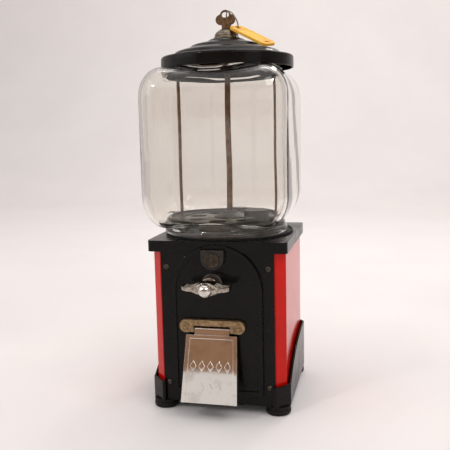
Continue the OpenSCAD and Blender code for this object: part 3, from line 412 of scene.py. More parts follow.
FINISHES: dict[str, Finish | PressedGlass] = {
    # stoved black enamel: deep and even, a little dusty, glossy only at low angles
    "black_paint": Finish(
        "black_enamel", Tone.BLACK_ENAMEL, Tone.BLACK_HAZE, 0.0, 0.25, 0.4, 0.1,
        patch=30, cover=0.15, grain=1.4, depth=0.006, edge=0.5, coat=0.14,
    ),
    # stoved red enamel: strong colour with a clear gloss that goes white at low angles
    "red_paint": Finish(
        "red_enamel", Tone.RED_ENAMEL, Tone.RED_SHADE, 0.0, 0.12, 0.2, 0.2,
        patch=40, cover=0.25, grain=1.6, depth=0.006, edge=0.5,
    ),
    # moulded rubber: matt black with grey dust
    "rubber": Finish(
        "moulded_rubber", Tone.RUBBER, Tone.RUBBER_DUST, 0.0, 0.5, 0.7, 0.2,
        patch=7, cover=0.3, grain=0.6, depth=0.03,
    ),
    # zinc-plated steel fasteners and shafts
    "steel": Finish(
        "zinc_plate", Tone.ZINC, Tone.ZINC_DULL, 1.0, 0.28, 0.5, patch=5, cover=0.4, grain=0.3,
    ),
    # chemically blackened screw steel
    "dark_screws": Finish(
        "blackened_steel", Tone.SCREW_STEEL, Tone.CAST_DUST, 1.0, 0.25, 0.45, patch=3, cover=0.5,
    ),
    # sand-cast and painted metal: a coarse skin under black paint
    "dark_casting": Finish(
        "painted_casting", Tone.CAST_IRON, Tone.CAST_DUST, 0.35, 0.38, 0.55, 0.4,
        patch=6, cover=0.4, grain=0.9, depth=0.05,
    ),
    # old brass gone brown
    "aged_brass": Finish(
        "browned_brass", Tone.BRONZE, Tone.BRONZE_DULL, 0.9, 0.35, 0.55,
        patch=3, cover=0.5, grain=0.4, depth=0.03,
    ),
    # plain brass with a dull film
    "brass": Finish(
        "dull_brass", Tone.BRASS, Tone.BRASS_DULL, 0.8, 0.32, 0.5,
        patch=4, cover=0.35, grain=0.4, depth=0.015, edge=0.7,
    ),
    # hot-dipped sheet with its crystals
    "galvanised": Galvanised(
        "galvanised_sheet", Tone.ZINC, Tone.ZINC_DULL, 1.0, 0.3, 0.45, patch=6, grain=0.8,
    ),
    # the globe
    "glass": PressedGlass(),
    # soft steel rod, brown with age and grime
    "aged_rod": Finish(
        "aged_rod_steel", Tone.OLD_STEEL, Tone.RUST, 0.7, 0.42, 0.7,
        patch=5, cover=0.42, grain=0.6, depth=0.02, stretch=(1, 1, 0.3),
    ),
    # bright chromium plate with faint clouding
    "chrome": Finish(
        "chromium_plate", Tone.CHROME, Tone.CHROME_DULL, 1.0, 0.05, 0.14, patch=9, cover=0.15,
        grain=0.8, depth=0.004,
    ),
    # plated sheet, pressed flat and clean, so that it mirrors the room
    "bright_flap": Finish(
        "bright_pressed_sheet", Tone.CHROME, Tone.CHROME_DULL, 1.0, 0.04, 0.07,
        patch=18, cover=0.0, grain=4.0, depth=0.002, edge=0.4,
    ),
    # die-cast aluminium: grey, slightly grainy
    "cast_aluminium": Finish(
        "cast_aluminium", Tone.CAST_ALLOY, Tone.ALLOY_DULL, 0.9, 0.42, 0.6,
        patch=8, cover=0.5, grain=0.7, depth=0.04,
    ),
    # nickel plate gone brown in the hollows
    "nickel": Finish(
        "dull_nickel", Tone.NICKEL, Tone.NICKEL_DULL, 1.0, 0.22, 0.42, patch=6, cover=0.45,
        grain=0.5, depth=0.012,
    ),
    # stamped key steel, brown from handling
    "dark_key": Finish(
        "handled_key_steel", Tone.KEY_STEEL, Tone.KEY_GRIME, 0.75, 0.4, 0.6,
        patch=2.5, cover=0.45, grain=0.35, depth=0.03, stretch=(1, 1, 0.15),
    ),
    # moulded yellow plastic, slightly see-through at its edges
    "yellow_plastic": Finish(
        "moulded_tag_plastic", Tone.TAG, Tone.TAG_DEEP, 0.0, 0.26, 0.4, 0.5,
        patch=10, cover=0.25, grain=1.2, depth=0.01, edge=0.6, subsurface=0.25,
    ),
    # card behind the tag's window
    "yellow_card": Finish(
        "tag_card", Tone.CARD, Tone.CARD_FLECK, 0.0, 0.6, 0.7, 0.3, patch=2, cover=0.4,
        grain=0.3, depth=0.008, edge=0.1,
    ),
    # natural bristle
    "bristle": Finish(
        "natural_bristle", Tone.BRISTLE, Tone.BRISTLE_DARK, 0.0, 0.55, 0.7, 0.3,
        patch=0.8, cover=0.5, grain=0.2, depth=0.01, edge=0.0,
    ),
}


# the enamel under the lid, which the gloss of the bath never reached
DULL_ENAMEL = Finish(
    "dull_enamel", Tone.BLACK_ENAMEL, Tone.BLACK_HAZE, 0.0, 0.6, 0.8, 0.04,
    patch=12, cover=0.4, grain=1.0, depth=0.02, edge=0.3,
)

# chromium plate on the handle, darker and browner than chrome, with brown patches at random: partly
# grime, partly a painted reflection of a dark brown room
WORN_PLATE = Finish(
    "worn_plate", Tone.WORN_PLATE, Tone.PLATE_GRIME, 1.0, 0.07, 0.2,
    patch=2.5, cover=0.38, grain=0.8, depth=0.006, edge=0.6,
)

# radius in millimetres that the press or the casting left on each node's edges
SOFT_EDGES: dict[str, float] = {
    "top_plate": 1.4, "arch_plate": 0.5, "front_panel": 0.4, "body_shell": 0.5,
    "base_pan": 0.8, "coin_entry": 0.6, "handle_bushing": 0.5, "hinge_bracket": 0.5,
    "door": 0.5, "key_tag": 0.8, "feet": 0.8, "coin_emblem": 0.3,
}


def soften(node: bpy.types.Object, radius: float) -> None:
    """Round a node's edges with modifiers, which leave its own mesh as it is.

    Args:
        node: The node of the frame.
        radius: Radius of the rounding in millimetres.
    """
    weld = node.modifiers.new("joined_corners", "WELD")
    weld.merge_threshold = WELD
    flat = node.modifiers.new("joined_faces", "DECIMATE")
    flat.decimate_type = "DISSOLVE"
    flat.angle_limit = FLAT_ANGLE
    bevel = node.modifiers.new("rounded_edges", "BEVEL")
    bevel.width = radius * MM
    bevel.segments = EDGE_SEGMENTS
    bevel.limit_method = "ANGLE"
    bevel.angle_limit = EDGE_ANGLE
    even = node.modifiers.new("even_shading", "WEIGHTED_NORMAL")
    even.keep_sharp = False


class Workshop:
    """Builds each finish once and hands out its material by the record's slot name."""

    def __init__(self, slots: Mapping[str, str]) -> None:
        """Remember which slot each node has.

        Args:
            slots: For each node, the name of its material slot.
        """
        self.slots = dict(slots)
        self.materials = {slot: finish.build() for slot, finish in FINISHES.items()}
        self.own = {"upper_plate": DULL_ENAMEL.build(), "handle": WORN_PLATE.build()}

    def finish(self, node: str) -> bpy.types.Material:
        """A node's own material, or else its slot's."""
        return self.own.get(node, self.materials[self.slots[node]])

    def dress(self, node: bpy.types.Object) -> None:
        """Give a node of the frame its material, and round its edges."""
        if node.name in SOFT_EDGES:
            soften(node, SOFT_EDGES[node.name])
        material = self.finish(node.name)
        if not node.material_slots:
            node.data.materials.append(material)
        for slot in node.material_slots:
            slot.material = material

    def piece(self, name: str, mesh: bpy.types.Mesh, body: str, stands_for: str) -> None:
        """Turn a mesh into a finished piece that stands for a node.

        Args:
            name: The piece's name.
            mesh: Its mesh, in metres, in place.
            body: The body that it rides on.
            stands_for: The node that it replaces.
        """
        mesh.materials.clear()
        mesh.materials.append(self.finish(stands_for))
        mesh.name = name
        made = new_object(name, mesh)
        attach(made, body)
        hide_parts(stands_for)
        log.info("%s: %d faces, on %s, for %s", name, len(mesh.polygons), body, stands_for)


# ---- mesh making


def arc(centre: Point, radius: float, start: float, end: float, steps: int) -> list[Point]:
    """Points along an arc.

    Args:
        centre: Its centre.
        radius: Its radius.
        start: First angle in degrees.
        end: Last angle in degrees.
        steps: Number of segments.

    Returns:
        The points, both ends included.
    """
    angles = [math.radians(start + (end - start) * i / steps) for i in range(steps + 1)]
    return [(centre[0] + radius * math.cos(a), centre[1] + radius * math.sin(a)) for a in angles]


def rounded(corners: Sequence[tuple[float, float, float]], steps: int = 5) -> list[Point]:
    """A closed outline with its corners rounded.

    Args:
        corners: Each corner's two coordinates and its fillet radius.
        steps: Segments in each fillet.

    Returns:
        The outline's points.
    """
    points: list[Point] = []
    count = len(corners)
    for i, (x, y, radius) in enumerate(corners):
        here = Vector((x, y))
        back = Vector(corners[i - 1][:2]) - here
        ahead = Vector(corners[(i + 1) % count][:2]) - here
        turn = back.angle(ahead, math.pi)
        reach = radius / math.tan(turn / 2) if turn > 0.01 else 0.0
        # a fillet takes just under half of the shorter side next to it
        reach = min(reach, back.length * 0.48, ahead.length * 0.48)
        if reach < 0.02 or turn > math.pi - 0.02:
            points.append((x, y))
            continue
        first = here + back.normalized() * reach
        last = here + ahead.normalized() * reach
        for k in range(steps + 1):
            t = k / steps
            point = first * (1 - t) ** 2 + here * 2 * t * (1 - t) + last * t**2
            points.append((point.x, point.y))
    return points


def resampled(points: Sequence[Point], count: int) -> list[Point]:
    """The same path with a set number of evenly spaced points."""
    spans = [math.dist(a, b) for a, b in zip(points, points[1:])]
    total = sum(spans)
    result: list[Point] = []
    k, walked = 0, 0.0
    for i in range(count):
        target = total * i / (count - 1)
        while k < len(spans) - 1 and walked + spans[k] < target:
            walked += spans[k]
            k += 1
        t = min(1.0, (target - walked) / spans[k]) if spans[k] > 0 else 0.0
        a, b = points[k], points[k + 1]
        result.append((a[0] + (b[0] - a[0]) * t, a[1] + (b[1] - a[1]) * t))
    return result


def finished_mesh(bm: bmesh.types.BMesh, crease: float) -> bpy.types.Mesh:
    """Close a mesh, point its faces outwards and shade it smooth up to an angle.

    Args:
        bm: The working mesh, which is freed.
        crease: Edges sharper than this many degrees stay sharp.

    Returns:
        The mesh.
    """
    bmesh.ops.remove_doubles(bm, verts=bm.verts, dist=WELD)
    bmesh.ops.recalc_face_normals(bm, faces=bm.faces)
    mesh = bpy.data.meshes.new("finished")
    bm.to_mesh(mesh)
    bm.free()
    mesh.shade_smooth()
    mesh.set_sharp_from_angle(angle=math.radians(crease))
    return mesh


def add_loft(bm: bmesh.types.BMesh, rings: Sequence[Ring], close: bool = True) -> None:
    """Join rings of points with quads into one skin.

    Args:
        bm: The working mesh.
        rings: Rings with as many points each, in metres.
        close: Whether the last ring joins the first, as round an axis.
    """
    made = [[bm.verts.new(p) for p in ring] for ring in rings]
    size = len(made[0])
    last = len(made) if close else len(made) - 1
    for i in range(last):
        here, ahead = made[i], made[(i + 1) % len(made)]
        for k in range(size):
            bm.faces.new((here[k], here[(k + 1) % size], ahead[(k + 1) % size], ahead[k]))


def add_lathe(bm: bmesh.types.BMesh, outline: Sequence[Point], segments: int) -> None:
    """Turn a closed outline about the Z axis.

    Args:
        bm: The working mesh.
        outline: Radius and height of each point in millimetres.
        segments: Steps round the axis.
    """
    rings: list[Ring] = []
    for i in range(segments):
        a = 2 * math.pi * i / segments
        c, s = math.cos(a), math.sin(a)
        rings.append([Vector((r * c, r * s, z)) * MM for r, z in outline])
    add_loft(bm, rings)


# ---- geometry nodes


@dataclass
class NodePiece:
    """A piece that a Geometry Nodes tree makes from named sizes.

    Attributes:
        name: The piece's and the tree's name.
        sizes: The tree's inputs and their values.
    """

    name: str
    sizes: dict[str, float]

    def grow(
        self, build: Callable[[Tree, Sizes], Socket], material: bpy.types.Material
    ) -> bpy.types.Mesh:
        """Build the tree, run it on an empty object and keep its mesh.

        Args:
            build: Adds the tree's nodes and returns the socket with its geometry.
            material: The material that Set Material gives.

        Returns:
            The plain mesh.
        """
        tree = bpy.data.node_groups.new(self.name, "GeometryNodeTree")
        tree.interface.new_socket("Geometry", in_out="OUTPUT", socket_type="NodeSocketGeometry")
        for label in self.sizes:
            tree.interface.new_socket(label, in_out="INPUT", socket_type="NodeSocketFloat")
        start = add_node(tree, "NodeGroupInput")
        shape = build(tree, start.outputs)
        real = wired(tree, "GeometryNodeRealizeInstances", {"Geometry": shape}, "Geometry")
        dressed = {"Geometry": real, "Material": material}
        done = wired(tree, "GeometryNodeSetMaterial", dressed, "Geometry")
        add_node(tree, "NodeGroupOutput", {"Geometry": done})
        holder = new_object(self.name + "_holder", bpy.data.meshes.new(self.name))
        modifier = holder.modifiers.new(self.name, "NODES")
        modifier.node_group = tree
        for item in tree.interface.items_tree:
            if item.in_out == "INPUT":
                modifier[item.identifier] = float(self.sizes[item.name])
        evaluated = holder.evaluated_get(bpy.context.evaluated_depsgraph_get())
        mesh = bpy.data.meshes.new_from_object(evaluated)
        bpy.data.objects.remove(holder)
        bpy.data.node_groups.remove(tree)
        return mesh


def moved_mesh(mesh: bpy.types.Mesh, place: Matrix, crease: float = 40.0) -> bpy.types.Mesh:
    """Put a mesh in its place, close it and shade it."""
    bm = bmesh.new()
    bm.from_mesh(mesh)
    bmesh.ops.transform(bm, matrix=place, verts=bm.verts)
    bpy.data.meshes.remove(mesh)
    return finished_mesh(bm, crease)


# ---- the globe


@dataclass
class Globe:
    """The square glass globe: one closed skin, outside and inside.

    Attributes:
        corner: Radius of the upright edges in plan.
        shoulder: Height of the curve into the top.
        heel: Height of the curve into the bottom.
        wall: Thickness of the glass.
        neck: Outer radius of both necks.
        neck_wall: Thickness of the necks.
        fillet: Radius where the body runs into a neck.
        inner_fillet: The same on the inside.
        lower_neck: Height of the lower neck.
        foot: Radius of the bead that the globe stands on.
        foot_height: Height of that bead.
        foot_round: Radius of that bead's edges.
        upper_neck: Height of the upper neck.
        wave: Unevenness of the inner skin.
        still: How far from both rims the inner skin stays even.
        around: Steps round the axis.
        points: Points along the upper outside, the upper and lower inside and the lower outside.
        inner: First point and end of the stretch of the cross-section that is uneven.
        flat: Half of each side's flat width, which build works out from the node.
    """

    corner: float = 24.0
    shoulder: float = 29.0
    heel: float = 33.0
    wall: float = 4.0
    neck: float = 61.9
    neck_wall: float = 2.8
    fillet: float = 2.4
    inner_fillet: float = 1.2
    lower_neck: float = 8.8
    foot: float = 65.2
    foot_height: float = 5.6
    foot_round: float = 1.6
    upper_neck: float = 8.4
    wave: float = 0.3
    still: float = 12.0
    around: int = 192
    points: tuple[int, int, int, int] = (46, 46, 46, 60)
    inner: tuple[int, int] = (48, 134)
    flat: float = field(init=False, default=0.0)

    def reach(self, angle: float, dist: float) -> float:
        """Distance from the axis to a rounded square, in one direction.

        Args:
            angle: The direction in radians.
            dist: Radius of the rounding.

        Returns:
            The distance in millimetres.
        """
        c, s = abs(math.cos(angle)), abs(math.sin(angle))
        flat = self.flat
        side = (flat + dist) / max(c, s)
        if side * min(c, s) <= flat:
            return side
        middle = flat * (c + s)
        return middle + math.sqrt(max(0.0, middle**2 - 2 * flat**2 + dist**2))

    def end_curve(
        self, angle: float, round_r: float, rise: float, neck: float, fillet: float
    ) -> list[Point]:
        """Curve from the upright wall over a shoulder into a neck, as radius and height.

        Args:
            angle: The direction in radians.
            round_r: Radius of the upright edges on this skin.
            rise: Height of the shoulder.
            neck: Radius of the neck on this skin.
            fillet: Radius of the curve into the neck, measured outwards from it.

        Returns:
            Points from the foot of the shoulder, at height 0, to the neck.
        """
        path: list[Point] = []
        for i in range(SHOULDER_STEPS + 1):
            t = math.pi / 2 * i / SHOULDER_STEPS
            r = self.reach(angle, round_r * math.cos(t))
            if r < neck + fillet:
                break
            path.append((r, rise * math.sin(t)))
        r, z = path[-1]
        if r > neck + fillet + 0.5:
            path.append((neck + fillet, z))
        z = path[-1][1]
        path += [(x, y) for x, y in arc((neck + fillet, z + fillet), fillet, 270, 180, 6)[1:]]
        return path

    def loop(self, angle: float, low: float, high: float) -> list[Point]:
        """The glass's closed cross-section in one direction.

        Args:
            angle: The direction in radians.
            low: Height of the lower rim.
            high: Height of the upper rim.

        Returns:
            Radius and height of each point in millimetres.
        """
        body_low, body_high = low + self.lower_neck, high - self.upper_neck
        inner_r = self.corner - self.wall
        bore = self.neck - self.neck_wall
        top_out, foot_out = (
            self.end_curve(angle, self.corner, rise, self.neck, self.fillet)
            for rise in (self.shoulder, self.heel)
        )
        top_in, foot_in = (
            self.end_curve(angle, inner_r, rise - self.wall, bore, self.inner_fillet)
            for rise in (self.shoulder, self.heel)
        )
        middle = (body_low + body_high) / 2
        outside = (self.reach(angle, self.corner), middle)
        inside = (self.reach(angle, inner_r), middle)
        lip = self.neck_wall / 2
        rim = (self.neck - lip, high - lip)
        upper = [outside] + [(r, body_high - self.shoulder + z) for r, z in top_out]
        upper += arc(rim, lip, 0, 90, 4)
        inner = arc(rim, lip, 90, 180, 4)
        inner += [(r, body_high - self.shoulder + z) for r, z in reversed(top_in)] + [inside]
        inner_low = [inside] + [(r, body_low + self.heel - z) for r, z in foot_in]
        inner_low += arc((self.neck - lip, low + lip), lip, 180, 270, 4)
        curve = self.foot_round
        outer_low = arc((self.foot - curve, low + curve), curve, 270, 360, 5)
        outer_low += arc((self.foot - curve, low + self.foot_height - curve), curve, 0, 80, 5)
        outer_low += [(r, body_low + self.heel - z) for r, z in reversed(foot_out)] + [outside]
        paths = (upper, inner, inner_low, outer_low)
        parts = [resampled(path, count) for path, count in zip(paths, self.points)]
        return [p for part in parts for p in part[:-1]]

    def uneven(self, point: Vector) -> Vector:
        """Move a point of the inner skin by the mould's slow unevenness."""
        # waves of a few centimetres, of lengths that never fall into step
        swell = math.sin(point.x / 13 + 1.1) * math.sin(point.z / 17)
        swell += math.sin(point.y / 11 + point.z / 23)
        outwards = Vector((point.x, point.y, 0)).normalized()
        return point - outwards * self.wave * swell * 0.5

    def build(self, shop: Workshop) -> None:
        """Make the globe in the place of its node."""
        low, high = box_mm("globe")
        centre = (low + high) / 2
        axis = Vector((centre.x, centre.y, 0))
        self.flat = (high.x - low.x) / 2 - self.corner
        first, end = self.inner
        rings: list[Ring] = []
        for i in range(self.around):
            angle = 2 * math.pi * (i + 0.5) / self.around
            c, s = math.cos(angle), math.sin(angle)
            ring: Ring = []
            for k, (r, z) in enumerate(self.loop(angle, low.z, high.z)):
                point = Vector((r * c, r * s, z))
                if first <= k < end and low.z + self.still < z < high.z - self.still:
                    point = self.uneven(point)
                ring.append((point + axis) * MM)
            rings.append(ring)
        bm = bmesh.new()
        add_loft(bm, rings)
        shop.piece("glass_globe", finished_mesh(bm, 60), "machine", "globe")


# ---- the lid and its lock


@dataclass
class Lid:
    """The spun steel lid: a rolled rim, a ledge on the glass and three shallow steps.

    Attributes:
        sheet: Thickness of the sheet.
        rim: Outer radius.
        rim_height: Height of the upright rim.
        ledge: Radius where the underside stops resting on the glass.
        seat: Height of the underside on the glass above the rim's foot.
        bore: Radius of the lock's hole.
        hollow: How far the underside of the steps lies under their top.
        steps: Each step's radius, its share of the fall to the rim, and its fillet.
    """

    sheet: float = 1.4
    rim: float = 68.2
    rim_height: float = 12.0
    ledge: float = 57.4
    seat: float = 8.7
    bore: float = 10.2
    hollow: float = 2.0
    steps: tuple[tuple[float, float, float], ...] = (
        (17.0, 0.0, 1.2), (18.6, 0.05, 1.0), (20.6, 0.13, 2.0), (34.0, 0.3, 3.0),
        (36.6, 0.36, 1.4), (38.6, 0.47, 2.0), (51.6, 0.68, 3.0), (53.8, 0.75, 1.2),
        (56.0, 0.88, 1.6),
    )

    def build(self, shop: Workshop) -> None:
        """Make the lid in the place of its node."""
        low, high = box_mm("lid")
        top, foot = high.z, low.z
        brim = foot + self.rim_height
        rise = top - brim
        inside = self.rim - self.sheet
        rest = foot + self.seat
        outer = [(self.bore, top, 0.3)]
        outer += [(r, top - share * rise, fillet) for r, share, fillet in self.steps]
        outer += [(self.rim - 0.9, brim, 1.6), (self.rim, brim - 1.6, 1.6)]
        outer += [(self.rim, foot, 0.7), (inside, foot, 0.5), (inside, rest, 0.4)]
        under = [
            (r - 1.0, top - share * rise - self.hollow, 1.2) for r, share, _ in reversed(self.steps)
        ]
        outline = outer + [(self.ledge, rest, 0.4)] + under
        outline += [(self.bore, top - self.hollow, 0.3)]
        bm = bmesh.new()
        add_lathe(bm, rounded(outline), segments=160)
        shop.piece("spun_lid", finished_mesh(bm, 34), "lid", "lid")


@dataclass
class LockBody:
    """The lock's turned and plated body, with a flared foot and a domed top.

    Attributes:
        barrel: Radius of the barrel under the lid.
        bore: Radius of the plug's hole.
        hollow: Radius of the hollow for the lock's nut.
        hollow_up: Height of that hollow.
    """

    barrel: float = 10.0
    bore: float = 4.6
    hollow: float = 7.8
    hollow_up: float = 10.6

    def build(self, shop: Workshop) -> None:
        """Make the lock body in the place of its node."""
        low, high = box_mm("lock_body")
        foot_r = (high.x - low.x) / 2
        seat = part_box("lid")[1].z / MM
        top = high.z
        # radius, height and fillet: up the outside, over the dome and back inside
        corners = [
            (self.barrel, low.z, 0.4), (self.barrel, seat, 0.1), (foot_r, seat, 0.5),
            (foot_r, seat + 1.6, 0.6), (foot_r - 0.6, seat + 2.5, 0.4),
            (foot_r - 1.5, seat + 2.9, 0.6), (foot_r - 1.0, seat + 4.1, 1.4),
            (foot_r - 2.0, seat + 6.2, 3.0), (foot_r - 4.2, seat + 8.2, 3.0),
            (foot_r - 6.8, top - 0.4, 1.6), (foot_r - 8.0, top, 0.5), (self.bore, top, 0.3),
            (self.bore, low.z + self.hollow_up, 0.1), (self.hollow, low.z + self.hollow_up, 0.2),
            (self.hollow, low.z, 0.3),
        ]
        bm = bmesh.new()
        add_lathe(bm, rounded(corners), segments=96)
        shop.piece("lock_casting", finished_mesh(bm, 34), "lid", "lock_body")


@dataclass
class SplitRing:
    """The key's split ring: two close turns of spring wire.

    Attributes:
        wire: Radius of the wire.
        turns: Number of turns.
    """

    wire: float = 0.42
    turns: float = 2.0

    def build(self, shop: Workshop, joints: Sequence[Mapping[str, object]]) -> None:
        """Wind the ring round its node's axis.

        Args:
            shop: Where its material comes from.
            joints: The frame's joints, one of which swings the tag on the ring.
        """
        swing = next(j for j in joints if j["name"] == "tag_swing")
        low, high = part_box("split_ring")
        middle = (low + high) / 2
        pivot = Vector(swing["pos_m"])
        across = (pivot - middle).normalized()
        axis = Vector(swing["axis"]).cross(across).normalized()
        turn = Matrix((across, axis.cross(across), axis)).transposed().to_4x4()
        rise = self.wire * self.turns * MM
        piece = NodePiece(
            "split_ring_winding",
            {
                "Radius": (pivot - middle).length,
                "Wire": self.wire * MM,
                "Rise": rise,
                "Turns": self.turns,
            },
        )
        mesh = piece.grow(self.winding, shop.finish("split_ring"))
        place = Matrix.Translation(middle) @ turn @ Matrix.Translation((0, 0, -rise / 2))
        shop.piece("split_ring_coil", moved_mesh(mesh, place), "tag", "split_ring")

    def winding(self, tree: Tree, sizes: Sizes) -> Socket:
        """Add the nodes of the ring's winding and return its geometry."""
        turns = {
            "Resolution": 96,
            "Rotations": sizes["Turns"],
            "Start Radius": sizes["Radius"],
            "End Radius": sizes["Radius"],
            "Height": sizes["Rise"],
        }
        spiral = wired(tree, "GeometryNodeCurveSpiral", turns, "Curve")
        round_wire = {"Resolution": 10, "Radius": sizes["Wire"]}
        profile = wired(tree, "GeometryNodeCurvePrimitiveCircle", round_wire, "Curve")
        swept = {"Curve": spiral, "Profile Curve": profile, "Fill Caps": True}
        return wired(tree, "GeometryNodeCurveToMesh", swept, "Mesh")


# ---- the dispenser


@dataclass
class WingedHandle:
    """The plated handle: tapered wings with grooves, turned-up tips, a hub and a ball seat.

    The local Z axis points out of the machine's front, along the handle's axis.

    Attributes:
        depth: Depth of the wings.
        outline: Share of a wing's length, and the wing's top and bottom there.
        lift: How far the tips turn up.
        tip: Share of a wing's length where its tip starts to turn up.
        groove: Depth of the grooves along the wings.
        grooved: Share of a side's width that each groove's spacing takes up.
        plain: Share of a wing's length, from the hub, where no groove has begun.
        inset: How far from a section's corners its sides start.
        hub: Radius of the hub behind the wings.
        bore: Radius of the shaft's hole in the hub.
        seat: Radius of the ring that the ball sits in.
        steps: Sections along the handle.
    """

    depth: float = 15.0
    outline: tuple[tuple[float, float, float], ...] = (
        (0.0, 7.2, -6.6), (0.2, 6.6, -5.6), (0.36, 4.8, -4.2), (0.5, 3.2, -2.9),
        (0.64, 2.3, -2.1), (0.84, 1.9, -1.7), (1.0, 1.7, -1.6),
    )
    lift: float = 1.5
    tip: float = 0.72
    groove: float = 0.5
    grooved: float = 0.3
    plain: float = 0.3
    inset: float = 0.45
    hub: float = 7.6
    bore: float = 4.0
    seat: float = 6.4
    steps: int = 72

    def edges(self, share: float) -> tuple[float, float]:
        """Top and bottom of a wing at a share of its length."""
        for (s0, t0, b0), (s1, t1, b1) in zip(self.outline, self.outline[1:]):
            if share <= s1:
                k = (share - s0) / (s1 - s0)
                # partly straight and partly eased, so that the outline has no kinks
                k = k * k * (3 - 2 * k) * 0.4 + k * 0.6
                break
        rise = self.lift * max(0.0, (share - self.tip) / (1 - self.tip)) ** 2
        return t0 + (t1 - t0) * k + rise, b0 + (b1 - b0) * k + rise * 0.8

    def side(self, first: Point, last: Point, grooves: int, cut: float) -> list[Vector]:
        """Points along one side of a section, with grooves pressed into it.

        Args:
            first: Where the side starts.
            last: Where it ends.
            grooves: Number of grooves.
            cut: Their depth.

        Returns:
            The side's points.
        """
        start, span = Vector(first), Vector(last) - Vector(first)
        inward = Vector((-span.y, span.x)).normalized()
        inset = min(self.inset, span.length * 0.2)
        points = [start + span.normalized() * inset]
        width = self.grooved / (grooves + 1)
        for k in range(grooves):
            middle = (k + 1) / (grooves + 1)
            for shift, deep in ((-width, 0.0), (-width / 2, 1.0), (width / 2, 1.0), (width, 0.0)):
                points.append(start + span * (middle + shift) + inward * cut * deep)
        points.append(start + span - span.normalized() * inset)
        return points

    def section(self, share: float, front: float) -> list[Vector]:
        """One section across a wing: height and distance out of the machine."""
        top, bottom = self.edges(share)
        # the grooves run in over a tenth of the wing and out just before its tip
        fade = min(1.0, max(0.0, (share - self.plain) / 0.1), max(0.0, (1 - share) / 0.06))
        cut = self.groove * fade * min(1.0, (top - bottom) / 5)
        rear = front - self.depth
        corners = [(bottom, front), (bottom, rear), (top, rear), (top, front)]
        ring: list[Vector] = []
        for k, grooves in enumerate((3, 0, 4, 1)):
            first, last = corners[k], corners[(k + 1) % 4]
            ring += self.side(first, last, grooves, -cut)
        return ring

    def build(self, shop: Workshop) -> None:
        """Make the handle in the place of its node."""
        low, high = box_mm("handle")
        half = (high.x - low.x) / 2
        front, back = -low.y, -high.y
        bm = bmesh.new()
        rings: list[Ring] = []
        for i in range(self.steps + 1):
            x = 2 * i / self.steps - 1
            ring = self.section(abs(x), front)
            rings.append([Vector((x * half, p.x, p.y)) * MM for p in ring])
        add_loft(bm, rings, close=False)
        bmesh.ops.holes_fill(bm, edges=[e for e in bm.edges if e.is_boundary])
        rear = front - self.depth + 0.1
        hub = [
            (self.bore, back, 0.1), (self.hub, back, 0.5), (self.hub, rear - 3, 2.0),
            (self.hub + 1, rear, 0.2), (self.bore, rear, 0.1),
        ]
        ball_seat = [
            (self.seat - 2.2, front - 0.5, 0.1), (self.seat + 0.6, front - 0.5, 0.1),
            (self.seat + 0.2, front + 1.0, 0.4), (self.seat - 0.7, front + 1.0, 0.4),
        ]
        for collar in (hub, ball_seat):
            add_lathe(bm, rounded(collar), segments=64)
        knob_low, knob_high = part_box("handle_knob")
        middle = Vector(((low.x + high.x) / 2 * MM, 0, (knob_low.z + knob_high.z) / 2))
        place = Matrix.Translation(middle) @ Matrix.Rotation(math.pi / 2, 4, "X")
        bmesh.ops.transform(bm, matrix=place, verts=bm.verts)
        shop.piece("winged_handle", finished_mesh(bm, 30), "handle", "handle")


@dataclass
class Brush:
    """The brush over the exit: a row of bristles that sweeps spare gumballs aside.

    Attributes:
        turn: Direction of the brush from the wheel's axis, in degrees.
        length: Length of the row.
        depth: Thickness of the row.
        pitch: Distance between bristles.
        hair: Radius of a bristle.
        lean: Largest random lean of a bristle, in degrees.
    """

    turn: float = -30.0
    length: float = 13.0
    depth: float = 2.4
    pitch: float = 0.55
    hair: float = 0.16
    lean: float = 5.0

    def build(self, shop: Workshop) -> None:
        """Grow the bristles in the place of their node."""
        low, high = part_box("brush")
        middle = (low + high) / 2
        turn = Matrix.Rotation(math.radians(self.turn), 4, "Z")
        place = Matrix.Translation((middle.x, middle.y, high.z)) @ turn
        piece = NodePiece(
            "brush_bristles",
            {
                "Length": (self.length - 1) * MM,
                "Depth": (self.depth - 0.8) * MM,
                "Hair": self.hair * MM,
                "Drop": high.z - low.z - 0.2 * MM,
                "Lean": math.radians(self.lean),
            },
        )
        mesh = piece.grow(self.bristles, shop.finish("brush"))
        shop.piece("brush_bristles", moved_mesh(mesh, place, 60), "machine", "brush")

    def bristles(self, tree: Tree, sizes: Sizes) -> Socket:
        """Add the nodes of the rows of bristles and return their geometry."""
        grid = {
            "Size X": sizes["Length"],
            "Size Y": sizes["Depth"],
            "Vertices X": int(self.length / self.pitch),
            "Vertices Y": int(self.depth / self.pitch),
        }
        rows = wired(tree, "GeometryNodeMeshGrid", grid, "Mesh")
        straight = {
            "Vertices": 5,
            "Radius Top": sizes["Hair"],
            "Radius Bottom": sizes["Hair"],
            "Depth": sizes["Drop"],
        }
        hair = wired(tree, "GeometryNodeMeshCone", straight, "Mesh")

        def scaled(vector: object, factor: Socket) -> Socket:
            return wired(
                tree, "ShaderNodeVectorMath", {0: vector, 3: factor}, "Vector", operation="SCALE"
            )

        down = {"Geometry": hair, "Translation": scaled((0.0, 0.0, -1.0), sizes["Drop"])}
        hung = wired(tree, "GeometryNodeTransform", down, "Geometry")
        lean = add_node(tree, "FunctionNodeRandomValue", {"Seed": 7}, data_type="FLOAT_VECTOR")
        lean.inputs["Min"].default_value = (-1, -1, 0)
        lean.inputs["Max"].default_value = (1, 1, 0)
        angle = scaled(lean.outputs["Value"], sizes["Lean"])
        tufts = {"Points": rows, "Instance": hung, "Rotation": angle}
        return wired(tree, "GeometryNodeInstanceOnPoints", tufts, "Instances")


# ---- the studio


